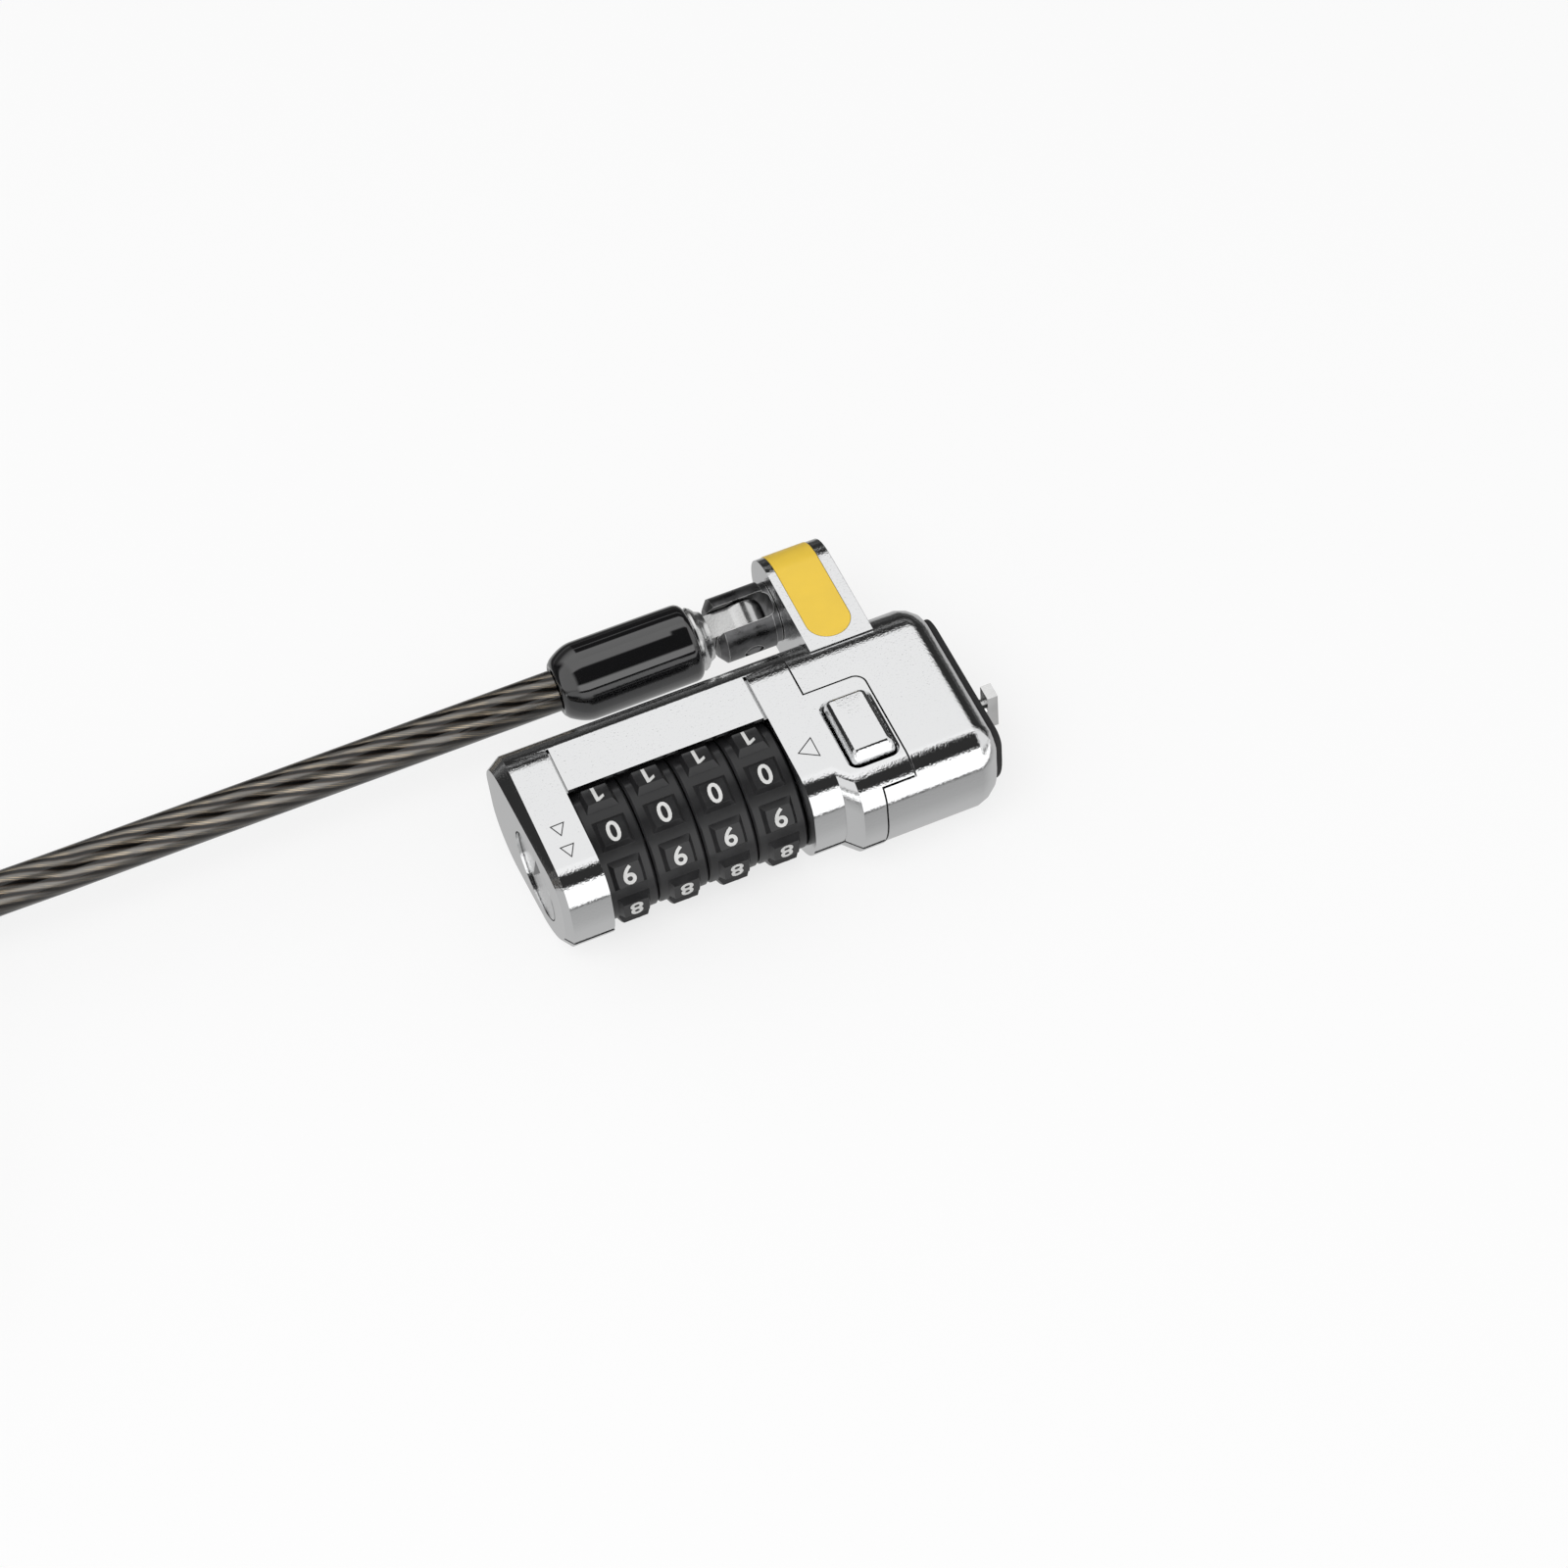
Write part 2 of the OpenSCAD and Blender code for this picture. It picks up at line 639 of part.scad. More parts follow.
module clevis_pin() {
    color("dimgray") at_swivel(clevis_turn) translate([PIN_AT, 0, 0]) rotate([90, 0, 0]) union() {
        cylinder(h = 2 * clevis_r - 0.8, r = PIN_R, center = true);
        for (s = [0, 1]) mirror([0, 0, s]) translate([0, 0, clevis_r - 0.4])
            cylinder(h = 0.3, r1 = PIN_R, r2 = 1);
    }
}

module cable_terminal() {
    color("lightgray") at_swivel(clevis_turn) {
        difference() {
            intersection() {
                union() {
                    translate([PIN_AT, 0, 0]) rotate([90, 0, 0]) cylinder(h = 10, r = 3.6, center = true);
                    block([-31, -5, -3.1], [PIN_AT, 5, 3.1]);
                }
                translate([0, 0, -5]) linear_extrude(10) union() {
                    translate([TONGUE_TIP, 0]) circle(TONGUE_HALF);
                    translate([-32, -TONGUE_HALF]) square([TONGUE_TIP + 32, 2 * TONGUE_HALF]);
                }
            }
            translate([PIN_AT, 0, 0]) rotate([90, 0, 0])
                cylinder(h = 10, r = PIN_R + RUN_FIT, center = true);
        }
        turned_x([
            [-50.5, 0], [-50.5, FERRULE_R], [-31.85, FERRULE_R], [-31.85, 4.7], [-31.4, 4.9],
            [-30.9, 4.6], [-30.3, 3.9], [-29.6, 3.6], [-29.6, 0]
        ]);
    }
}

module boot() {
    color([0.08, 0.08, 0.09]) at_swivel() difference() {
        turned_x([
            [BOOT_X0, 0], [BOOT_X0, 3.7], [BOOT_X0 + 0.4, 4.2], [BOOT_X0 + 2.9, boot_r - 0.25],
            [BOOT_X0 + 4.4, boot_r], [BOOT_X1 - 1.2, boot_r - 0.05], [BOOT_X1 - 0.4, boot_r - 0.4],
            [BOOT_X1, boot_r - 1], [BOOT_X1, 0]
        ]);
        rod(-50.55, 0, FERRULE_R + 0.05);
    }
}

// ---- cable -----------------------------------------------------------------------------------

function unit(v) = v / norm(v);
function way(p, i) = unit(p[min(i + 1, len(p) - 1)] - p[max(i - 1, 0)]);

// A tube along points: rings square to the route, with a corner straight up
module tube(points, r, sides) {
    rings = [
        for (i = [0 : len(points) - 1])
            let (t = way(points, i), n = unit(cross([0, 0, 1], t)), b = cross(t, n))
                for (k = [0 : sides - 1])
                    let (a = 90 + 360 / sides * k) points[i] + r * (cos(a) * n + sin(a) * b)
    ];
    last = (len(points) - 1) * sides;
    skin = [
        for (i = [0 : len(points) - 2], k = [0 : sides - 1])
            let (a = i * sides + k, b = i * sides + (k + 1) % sides)
                each [[a, b, a + sides], [b, b + sides, a + sides]]
    ];
    ends = [
        for (k = [1 : sides - 2]) each [[0, k + 1, k], [last, last + k, last + k + 1]]
    ];
    polyhedron(rings, concat(skin, ends));
}

// How far a run is drawn in at x from its middle; it is straight under the strap
function drawn_in(x) =
    let (t = (abs(x) - WAIST_HALF) / (hank_run / 2 - WAIST_HALF))
    hank_waist * (1 + cos(180 * min(1, max(0, t)))) / 2;

// Place j of a turn of radius r: back run, left fold, front run, right fold
function back_run(x, r) = [x, r - drawn_in(x)];
function fold(a, r) = [r * cos(a) - hank_run / 2, r * sin(a)];
function turn_place(j, r) =
    j < RINGS_RUN ? back_run(hank_run * (0.5 - j / RINGS_RUN), r) :
    j < RINGS_RUN + RINGS_FOLD ? fold(90 + 180 * (j - RINGS_RUN) / RINGS_FOLD, r) :
    -turn_place(j - RINGS_RUN - RINGS_FOLD, r);

// Ring n of the hank: it winds in on the floor, climbs along a run and winds out on top
function hank_point(n) =
    let (
        r = hank_r - hank_step * (HANK_TOP - abs(HANK_TOP - n)) / RINGS_TURN,
        s = min(1, max(0, (n - HANK_TOP) / RINGS_RUN + 0.5)),
        p = HANK_MID + turn_place(n % RINGS_TURN, r)
    ) [p[0], p[1], HANK_Z + HANK_LAYER * s * s * (3 - 2 * s)];

HANK = concat([RUN[len(RUN) - 1]], [for (n = [0 : HANK_RINGS]) hank_point(n)]);
LEAD = concat([HANK[len(HANK) - 1]], END_LEAD);

// Distance between two stretches, and the least gap of the hank to itself and to what lies on it
function to_segment(p, a, b) =
    let (d = b - a, t = min(1, max(0, (p - a) * d / (d * d)))) norm(p - a - t * d);
function least(p, q, skip) = min([
    for (i = [0 : len(p) - 1], j = [0 : len(q) - 2])
        if (skip == 0 || abs(i - j) > skip) to_segment(p[i], q[j], q[j + 1])
]);
function whole(p) = len(p) < 2 ? 0 : [for (i = 0, s = 0; i < len(p); i = i + 1,
    s = s + (i < len(p) ? norm(p[i] - p[i - 1]) : 0)) s][len(p) - 1];

echo(least_gap_in_hank = least(HANK, HANK, 6) - cable_d);
echo(least_gap_on_hank = least([for (i = [4 : len(LEAD) - 1]) LEAD[i]], HANK, 0) - cable_d);
echo(least_gap_to_run = least([for (i = [0 : len(RUN) - 4]) RUN[i]], HANK, 0) - cable_d);
echo(least_gap_to_loop = least([for (i = [0 : len(LEAD) - 2]) LEAD[i]], END_LOOP, 0) - cable_d);
echo(run = whole(RUN), hank = whole(HANK), lead = whole(LEAD), loop = whole(END_LOOP));

module cable_run() {
    color("dimgray") tube(RUN, CABLE_R, 8);
}

module cable_hank() {
    color("dimgray") tube(HANK, CABLE_R, 6);
}

module cable_end() {
    color("dimgray") tube(LEAD, CABLE_R, 8);
}

module end_loop() {
    color("dimgray") tube(END_LOOP, CABLE_R, 8);
}

// A crimped sleeve over both legs of the loop
module loop_ferrule() {
    leg_a = END_LOOP[0];
    leg_b = END_LOOP[len(END_LOOP) - 1];
    color("silver") translate([0, (leg_a[1] + leg_b[1]) / 2, leg_a[2]])
        along_x(FERRULE_X[0], FERRULE_X[1])
            round_rect([leg_b[1] - leg_a[1] + cable_d + 0.5, cable_d + 0.5], CABLE_R);
}

// A strap round the hank's waist
module cable_tie() {
    w = 2 * (hank_r - hank_waist) + cable_d + 0.4;
    h = HANK_LAYER + cable_d + 0.2;
    color([0.1, 0.1, 0.1]) translate([HANK_MID[0], HANK_MID[1], STRAP_T + h / 2])
        along_x(-STRAP_HALF, STRAP_HALF) difference() {
            round_rect([w + 2 * STRAP_T, h + 2 * STRAP_T], 3.8);
            round_rect([w, h], 3);
        }
}

rear_body();
front_collar();
lug_band();
face_pad();
reset_disc();
spindle();
spindle_spring();
detent_spring();
dowel_pins();
guide_bush();
latch_plate();
release_button();
button_spring();
anchor_stud();
anchor_washer();
for (i = DIALS) {
    dial(i);
    clutch_sleeve(i);
}
swivel_clevis();
swivel_clip();
clevis_pin();
cable_terminal();
boot();
cable_run();
cable_hank();
cable_end();
end_loop();
loop_ferrule();
cable_tie();
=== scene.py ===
"""A four-dial laptop cable lock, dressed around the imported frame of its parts.

Everything is in metres in the frame of the parts: +X to the laptop, +Y to the side that carries the
swivel, +Z up, with the origin under the middle of the lock head. Each sub-assembly is a class that
holds its sizes and builds its pieces, and each finish is a frozen dataclass that makes one material.
"""

from __future__ import annotations

import json
import logging
import math
from dataclasses import dataclass, field
from enum import Enum
from typing import Any, Sequence

import bmesh
import bpy
import numpy as np
from mathutils import Matrix, Vector

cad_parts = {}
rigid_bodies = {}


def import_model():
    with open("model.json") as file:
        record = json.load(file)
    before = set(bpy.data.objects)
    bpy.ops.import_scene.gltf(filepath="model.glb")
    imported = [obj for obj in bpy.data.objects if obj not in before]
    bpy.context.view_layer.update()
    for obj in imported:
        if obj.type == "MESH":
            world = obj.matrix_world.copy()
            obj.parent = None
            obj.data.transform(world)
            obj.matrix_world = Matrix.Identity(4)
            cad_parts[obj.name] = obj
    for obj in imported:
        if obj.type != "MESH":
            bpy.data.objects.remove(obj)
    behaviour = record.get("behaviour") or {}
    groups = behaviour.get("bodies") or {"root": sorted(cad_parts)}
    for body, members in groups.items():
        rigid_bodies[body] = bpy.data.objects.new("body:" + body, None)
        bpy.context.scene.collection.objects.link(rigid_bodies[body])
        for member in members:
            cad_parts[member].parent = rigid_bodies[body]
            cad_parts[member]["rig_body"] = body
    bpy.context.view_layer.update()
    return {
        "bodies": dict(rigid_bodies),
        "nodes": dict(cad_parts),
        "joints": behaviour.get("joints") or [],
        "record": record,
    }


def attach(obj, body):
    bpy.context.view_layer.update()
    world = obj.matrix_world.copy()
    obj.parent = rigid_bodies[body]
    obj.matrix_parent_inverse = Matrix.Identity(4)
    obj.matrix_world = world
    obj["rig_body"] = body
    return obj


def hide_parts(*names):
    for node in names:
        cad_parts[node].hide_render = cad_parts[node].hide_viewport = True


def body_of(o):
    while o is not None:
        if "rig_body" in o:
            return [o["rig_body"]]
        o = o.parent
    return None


LOG = logging.getLogger("cable_lock")
MM = 0.001
Rgb = tuple[float, float, float]
Place = tuple[float, float, float]
Steps = tuple[tuple[float, float], ...]
Letter = tuple[np.ndarray, list[list[int]]]


# ---- places ----------------------------------------------------------------------------------


@dataclass(frozen=True)
class Datum:
    """Where the lock's own measures start, in millimetres of the part's frame."""

    face_x: float = 32.02878
    axis_y: float = -10.425
    axis_z: float = 11.1
    swivel: Place = (32.02878, 17.375, 14.2)

    def beside(self, points: Any) -> np.ndarray:
        """Points whose y is counted from the swivel's axis, in millimetres, as metres."""
        return (np.asarray(points, float) + (0, self.swivel[1], 0)) * MM

    def from_axis(self, points: Any) -> np.ndarray:
        """Points counted from the laptop's side and the dials' axis, in millimetres, as metres."""
        return (np.asarray(points, float) + (self.face_x, self.axis_y, self.axis_z)) * MM

    def from_swivel(self, points: Any, turn: float = 0.0) -> np.ndarray:
        """Points counted from the laptop's side and the swivel's axis, turned about it, as metres.

        Args:
            points: Places in millimetres, x from the laptop's side, y and z from the swivel's axis.
            turn: Angle about the swivel's axis, in degrees.

        Returns:
            The same points in metres of the part's frame.
        """
        p = np.asarray(points, float)
        a = math.radians(turn)
        cos, sin = math.cos(a), math.sin(a)
        spin = np.array([[1, 0, 0], [0, cos, -sin], [0, sin, cos]])
        return (p @ spin.T + self.swivel) * MM


DATUM = Datum()


# ---- surfaces --------------------------------------------------------------------------------


SAME_PLACE = 1e-7  # metres
CORNER = 32.0  # degrees above which a corner stays sharp
CURVE_STEPS = 24  # places worked out between two points of a route


class Ends(Enum):
    """How the two ends of a grid of rings are finished."""

    CAPPED = "capped"
    JOINED = "joined"


def smooth_by_angle(obj: bpy.types.Object, degrees: float = CORNER) -> bpy.types.Object:
    """Shades a mesh smooth and keeps its sharp corners.

    Args:
        obj: The piece.
        degrees: Corners above this angle stay sharp.

    Returns:
        The piece.
    """
    obj.data.shade_smooth()
    obj.data.set_sharp_from_angle(angle=math.radians(degrees))
    return obj


def linked(name: str, data: bpy.types.ID) -> bpy.types.Object:
    """Shows a mesh, light, camera or text in the scene.

    Args:
        name: The new object's name.
        data: What it shows.

    Returns:
        The new object, at the origin.
    """
    obj = bpy.data.objects.new(name, data)
    bpy.context.scene.collection.objects.link(obj)
    return obj


def piece_from(name: str, points: np.ndarray, faces: list[list[int]]) -> bpy.types.Object:
    """Puts points and faces into a new mesh piece.

    Args:
        name: The piece's name.
        points: An array of n places in metres.
        faces: Lists of point numbers, going round each face as seen from outside.

    Returns:
        The new object, at the origin and linked to the scene.
    """
    mesh = bpy.data.meshes.new(name)
    mesh.from_pydata(points.reshape(-1, 3), [], faces)
    mesh.update()
    return linked(name, mesh)


def ring_surface(
    name: str,
    rings: np.ndarray,
    ends: Ends = Ends.CAPPED,
    uv: np.ndarray | None = None,
    degrees: float = CORNER,
) -> bpy.types.Object:
    """Skins a row of closed rings.

    Point k of ring i joins to the next point round the ring and to point k of the next ring.

    Args:
        name: The piece's name.
        rings: An array of m rings of n points, each a place in metres.
        ends: Whether the first and last rings are capped or joined to each other.
        uv: An array of m by n + 1 pairs, the last column being the seam's far side.
        degrees: Corners above this angle stay sharp.

    Returns:
        The new object, with its faces pointing outwards.
    """
    m, n = rings.shape[:2]
    rows = m if ends is Ends.JOINED else m - 1
    i, k = np.meshgrid(np.arange(rows), np.arange(n), indexing="ij")
    i2, k2 = (i + 1) % m, (k + 1) % n
    quads = np.stack([i * n + k, i * n + k2, i2 * n + k2, i2 * n + k], -1).reshape(-1, 4)
    points = rings.reshape(-1, 3)
    faces = quads.tolist()
    if ends is Ends.CAPPED:
        points = np.vstack([points, rings[0].mean(0), rings[-1].mean(0)])
        first, last, start = m * n, m * n + 1, (m - 1) * n
        faces += [[first, (j + 1) % n, j] for j in range(n)]
        faces += [[last, start + j, start + (j + 1) % n] for j in range(n)]
    obj = piece_from(name, points, faces)
    if uv is not None:
        after = np.minimum(i + 1, m - 1)
        corner = np.stack([uv[i, k], uv[i, k + 1], uv[after, k + 1], uv[after, k]], 2)
        corner = corner.reshape(-1, 2)
        spare = len(obj.data.loops) - len(corner)
        layer = obj.data.uv_layers.new(name="UVMap")
        flat = np.vstack([corner, np.tile(uv[0, 0], (spare, 1))]).astype(np.float32)
        layer.data.foreach_set("uv", flat.ravel())
    outwards(obj)
    return smooth_by_angle(obj, degrees)


def outwards(obj: bpy.types.Object) -> None:
    """Turns a closed mesh's faces so that all of them point outwards."""
    shape = bmesh.new()
    shape.from_mesh(obj.data)
    bmesh.ops.remove_doubles(shape, verts=shape.verts, dist=SAME_PLACE)
    bmesh.ops.recalc_face_normals(shape, faces=shape.faces)
    shape.to_mesh(obj.data)
    shape.free()


def turned(
    name: str, section: np.ndarray, steps: int = 96, degrees: float = CORNER
) -> bpy.types.Object:
    """Turns a closed section about the swivel's axis.

    The section is a loop of (x, radius) pairs; ring k is the loop at the angle 2 pi k / steps.

    Args:
        name: The piece's name.
        section: The loop, in millimetres, x counted from the laptop's side.
        steps: How many copies of the section go round.
        degrees: Corners above this angle stay sharp.

    Returns:
        The new object.
    """
    a = np.linspace(0, 2 * np.pi, steps, endpoint=False)
    x = np.broadcast_to(section[:, 0], (steps, len(section)))
    r = section[:, 1]
    rings = np.stack([x, r * np.cos(a)[:, None], r * np.sin(a)[:, None]], -1)
    v = np.linspace(0, 1, len(section) + 1)
    u = np.linspace(0, 1, steps)
    uv = np.stack(np.meshgrid(u, v, indexing="ij"), -1)
    return ring_surface(name, DATUM.from_swivel(rings), Ends.JOINED, uv, degrees)


def through(points: np.ndarray, step: float) -> np.ndarray:
    """Draws one smooth curve through points and marks it off in even steps.

    Between two points the curve is a cubic whose slopes at its ends are those of the chords on both
    sides, each weighted by the other's length.

    Args:
        points: The places to pass through.
        step: Distance between the marks.

    Returns:
        The places along the curve.
    """
    p = np.asarray(points, float)
    h = np.linalg.norm(np.diff(p, axis=0), axis=1)
    d = np.diff(p, axis=0) / h[:, None]
    inner = (d[:-1] * h[1:, None] + d[1:] * h[:-1, None]) / (h[:-1] + h[1:])[:, None]
    slope = np.vstack([d[:1], inner, d[-1:]])
    t = np.linspace(0, 1, CURVE_STEPS, endpoint=False)[None, :, None]
    a, b = p[:-1, None], p[1:, None]
    sa, sb = slope[:-1, None] * h[:, None, None], slope[1:, None] * h[:, None, None]
    fine = (
        a * (2 * t**3 - 3 * t**2 + 1) + b * (3 * t**2 - 2 * t**3)
        + sa * (t**3 - 2 * t**2 + t) + sb * (t**3 - t**2)
    )
    fine = np.vstack([fine.reshape(-1, 3), p[-1:]])
    run = run_along(fine)
    marks = np.linspace(0, run[-1], max(2, round(run[-1] / step) + 1))
    return np.stack([np.interp(marks, run, fine[:, j]) for j in range(3)], -1)


def run_along(path: np.ndarray) -> np.ndarray:
    """Length along a row of points, from its start to each of them."""
    return np.concatenate([[0], np.cumsum(np.linalg.norm(np.diff(path, axis=0), axis=1))])


def flattened(wave: np.ndarray, power: float) -> np.ndarray:
    """Raises a sine or cosine to a power below 1, sign kept, which squares a circle's corners."""
    return np.sign(wave) * np.abs(wave) ** power


def ways(path: np.ndarray) -> tuple[np.ndarray, np.ndarray]:
    """Directions across a path: one level, to its left, and one square to it and upwards."""
    t = np.gradient(path, axis=0)
    t /= np.linalg.norm(t, axis=1)[:, None]
    left = np.cross((0.0, 0.0, 1.0), t)
    left /= np.linalg.norm(left, axis=1)[:, None]
    return left, np.cross(t, left)


# ---- finishes --------------------------------------------------------------------------------


class Wiring:
    """A material's node tree, with short calls to add nodes and join them."""

    def __init__(self, name: str) -> None:
        """Starts an empty material with its output and its Principled shader."""
        self.material = bpy.data.materials.new(name)
        self.material.use_nodes = True
        self.tree = self.material.node_tree
        self.tree.nodes.clear()
        self.out = self.tree.nodes.new("ShaderNodeOutputMaterial")
        self.shader = self.add("ShaderNodeBsdfPrincipled")
        self.join(self.shader.outputs["BSDF"], self.out.inputs["Surface"])

    @classmethod
    def of(cls, tree: bpy.types.NodeTree) -> Wiring:
        """Takes over a node tree that isn't a material's, empty."""
        wiring = cls.__new__(cls)
        wiring.tree = tree
        tree.nodes.clear()
        return wiring

    def add(self, kind: str, **values: Any) -> bpy.types.Node:
        """Adds a node and sets its inputs by name, with _ for a space, or else its properties.

        Args:
            kind: The node's type name.
            **values: Input values or properties.

        Returns:
            The new node.
        """
        node = self.tree.nodes.new(kind)
        for key, value in values.items():
            if hasattr(node, key):
                setattr(node, key, value)
            else:
                node.inputs[key.replace("_", " ")].default_value = value
        return node

    def join(self, out: bpy.types.NodeSocket, to: bpy.types.NodeSocket) -> None:
        """Joins one socket to another."""
        self.tree.links.new(out, to)

    def set(self, **values: Any) -> None:
        """Sets the Principled shader's own values."""
        for key, value in values.items():
            self.shader.inputs[key.replace("_", " ")].default_value = value

    def place(self, uv: bool = False) -> bpy.types.NodeSocket:
        """Gives the surface's own UV, or its place in metres."""
        source = self.add("ShaderNodeTexCoord")
        return source.outputs["UV" if uv else "Object"]

    def noise(
        self, at: bpy.types.NodeSocket, size: float, detail: float = 2.0
    ) -> bpy.types.NodeSocket:
        """Noise whose lumps are about size metres across.

        Args:
            at: The coordinates it is drawn on.
            size: Width of its lumps.
            detail: How many finer layers it has, each half as strong as the one before.

        Returns:
            The noise's value.
        """
        node = self.add("ShaderNodeTexNoise", Scale=1 / size, Detail=detail, Roughness=0.5)
        self.join(at, node.inputs["Vector"])
        return node.outputs["Fac"]

    def math(self, operation: str, a: Any, b: Any = 0.0, c: Any = 0.0) -> bpy.types.NodeSocket:
        """One step of arithmetic between sockets or numbers.

        Args:
            operation: The Math node's operation.
            a: First value, a socket or a number.
            b: Second value.
            c: Third value.

        Returns:
            The result.
        """
        node = self.add("ShaderNodeMath", operation=operation)
        for k, value in enumerate((a, b, c)):
            if isinstance(value, bpy.types.NodeSocket):
                self.join(value, node.inputs[k])
            else:
                node.inputs[k].default_value = value
        return node.outputs[0]

    def between(
        self, value: bpy.types.NodeSocket, low: float, high: float, a: float = 0.3, b: float = 0.7
    ) -> bpy.types.NodeSocket:
        """Spreads a value from a..b to low..high.

        Args:
            value: What is spread.
            low: Result at a.
            high: Result at b.
            a: Where the spread starts.
            b: Where it stops.

        Returns:
            The spread value.
        """
        node = self.add("ShaderNodeMapRange")
        for key, number in (("From Min", a), ("From Max", b), ("To Min", low), ("To Max", high)):
            node.inputs[key].default_value = number
        self.join(value, node.inputs["Value"])
        return node.outputs["Result"]

    def shades(
        self, value: bpy.types.NodeSocket, stops: Sequence[tuple[float, Rgb]]
    ) -> bpy.types.NodeSocket:
        """Colours along a ramp.

        Args:
            value: Place on the ramp, 0 to 1.
            stops: Pairs of a place and its colour.

        Returns:
            The colour.
        """
        ramp = self.add("ShaderNodeValToRGB")
        bar = ramp.color_ramp.elements
        while len(bar) < len(stops):
            bar.new(0.5)
        for element, (at, colour) in zip(bar, stops):
            element.position = at
            element.color = (*colour, 1.0)
        self.join(value, ramp.inputs["Fac"])
        return ramp.outputs["Color"]

    def mixed(self, share: bpy.types.NodeSocket, a: Any, b: Any) -> bpy.types.NodeSocket:
        """Mixes two colours.

        Args:
            share: How much of the second is taken.
            a: First colour, a socket or three numbers.
            b: Second colour.

        Returns:
            The mixed colour.
        """
        node = self.add("ShaderNodeMix", data_type="RGBA")
        self.join(share, node.inputs[0])
        for k, value in ((6, a), (7, b)):
            if isinstance(value, bpy.types.NodeSocket):
                self.join(value, node.inputs[k])
            else:
                node.inputs[k].default_value = (*value, 1.0)
        return node.outputs[2]

    def bump(
        self,
        height: bpy.types.NodeSocket,
        depth: float,
        strength: float = 1.0,
        over: bpy.types.NodeSocket | None = None,
    ) -> bpy.types.NodeSocket:
        """Raises a height of 0 to 1 by depth metres on the shader's normal.

        Args:
            height: The height.
            depth: How high 1 stands.
            strength: How much of it is used.
            over: Another bump that this one is added to.

        Returns:
            The bumped normal.
        """
        node = self.add("ShaderNodeBump", Distance=depth, Strength=strength)
        self.join(height, node.inputs["Height"])
        if over is not None:
            self.join(over, node.inputs["Normal"])
        self.join(node.outputs["Normal"], self.shader.inputs["Normal"])
        return node.outputs["Normal"]

    def patches(
        self, at: bpy.types.NodeSocket, size: float, roughness: tuple[float, float],
        colour: Rgb, shade: float,
    ) -> bpy.types.NodeSocket:
        """Lets the shader's roughness and a colour drift together in broad patches.

        Args:
            at: The coordinates they are drawn on.
            size: Width of the patches.
            roughness: Least and greatest roughness.
            colour: The colour where the surface is roughest.
            shade: How much darker it is where the surface is smoothest.

        Returns:
            The colour.
        """
        broad = self.noise(at, size)
        self.join(self.between(broad, *roughness), self.shader.inputs["Roughness"])
        dark = tuple(c * (1 - shade) for c in colour)
        return self.shades(self.between(broad, 0, 1), [(0.0, dark), (1.0, colour)])

    def skin(
        self, at: bpy.types.NodeSocket, wave: float, wave_depth: float, grain: float,
        grain_depth: float,
    ) -> None:
        """Raises broad waves, where the surface has any, and the fine grain over them.

        Args:
            at: The coordinates they are drawn on.
            wave: Width of a wave, or 0 for none.
            wave_depth: Its height.
            grain: Width of the grain.
            grain_depth: Its height.
        """
        under = self.bump(self.noise(at, wave, 1.0), wave_depth) if wave else None
        self.bump(self.noise(at, grain, 3.0), grain_depth, over=under)


@dataclass(frozen=True)
class Metal:
    """A metal finish: its tint, polish, the fine and broad unevenness of its skin, and where asked painted
    shade in crevices and a painted highlight along edges.
    """

    name: str
    tint: Rgb
    roughness: tuple[float, float]
    grain: float
    grain_depth: float
    wave: float = 0.0
    wave_depth: float = 0.0
    mottle: float = 0.0
    # Reach of the painted shade in crevices, 0 for none.
    crevice: float = 0.0
    # Reach of the painted highlight along edges, 0 for none.
    worn: float = 0.0

    PATCH = 9  # width of the patches, in grains
    # Colour of the painted shade in crevices.
    SOOT = (0.02, 0.02, 0.02)
    # Colour of the painted highlight along edges.
    RUBBED = (0.9, 0.9, 0.89)

    def make(self) -> bpy.types.Material:
        """Builds the material, with painted shade within reach of a crevice and a painted highlight along
        its edges.
        """
        w = Wiring(self.name)
        at = w.place()
        w.set(Metallic=1.0)
        tint = w.patches(at, self.grain * self.PATCH, self.roughness, self.tint, self.mottle)
        # Painted shade: the tint darkens where ambient occlusion finds a crevice within reach.
        if self.crevice:
            air = w.add("ShaderNodeAmbientOcclusion", samples=6, Distance=self.crevice)
            tint = w.mixed(w.between(air.outputs["AO"], 0, 1, 0.45, 0.85), self.SOOT, tint)
        # Painted highlight: the tint lightens where the bevelled normal turns from the true one, along
        # edges.
        if self.worn:
            turn = w.add("ShaderNodeVectorMath", operation="DOT_PRODUCT")
            w.join(w.add("ShaderNodeBevel", samples=8, Radius=self.worn).outputs[0], turn.inputs[0])
            w.join(w.add("ShaderNodeNewGeometry").outputs["Normal"], turn.inputs[1])
            edge = w.between(turn.outputs["Value"], 1, 0, 0.93, 0.995)
            tint = w.mixed(edge, tint, self.RUBBED)
        w.join(tint, w.shader.inputs["Base Color"])
        w.skin(at, self.wave, self.wave_depth, self.grain, self.grain_depth)
        return w.material


@dataclass(frozen=True)
class Moulded:
    """A moulded plastic, rubber or paint: its colour, its gloss and the texture of its skin."""

    name: str
    colour: Rgb
    roughness: tuple[float, float]
    grain: float
    grain_depth: float
    wave: float = 0.0
    wave_depth: float = 0.0
    shade: float = 0.15
    coat: float = 0.0
    coat_roughness: float = 0.1
    level: float = 0.5

    PATCH = 12  # width of the patches, in grains

    def make(self) -> bpy.types.Material:
        """Builds the material."""
        w = Wiring(self.name)
        at = w.place()
        tint = w.patches(at, self.grain * self.PATCH, self.roughness, self.colour, self.shade)
        w.join(tint, w.shader.inputs["Base Color"])
        w.set(Coat_Weight=self.coat, Coat_Roughness=self.coat_roughness)
        w.set(Specular_IOR_Level=self.level)
        w.skin(at, self.wave, self.wave_depth, self.grain, self.grain_depth)
        return w.material


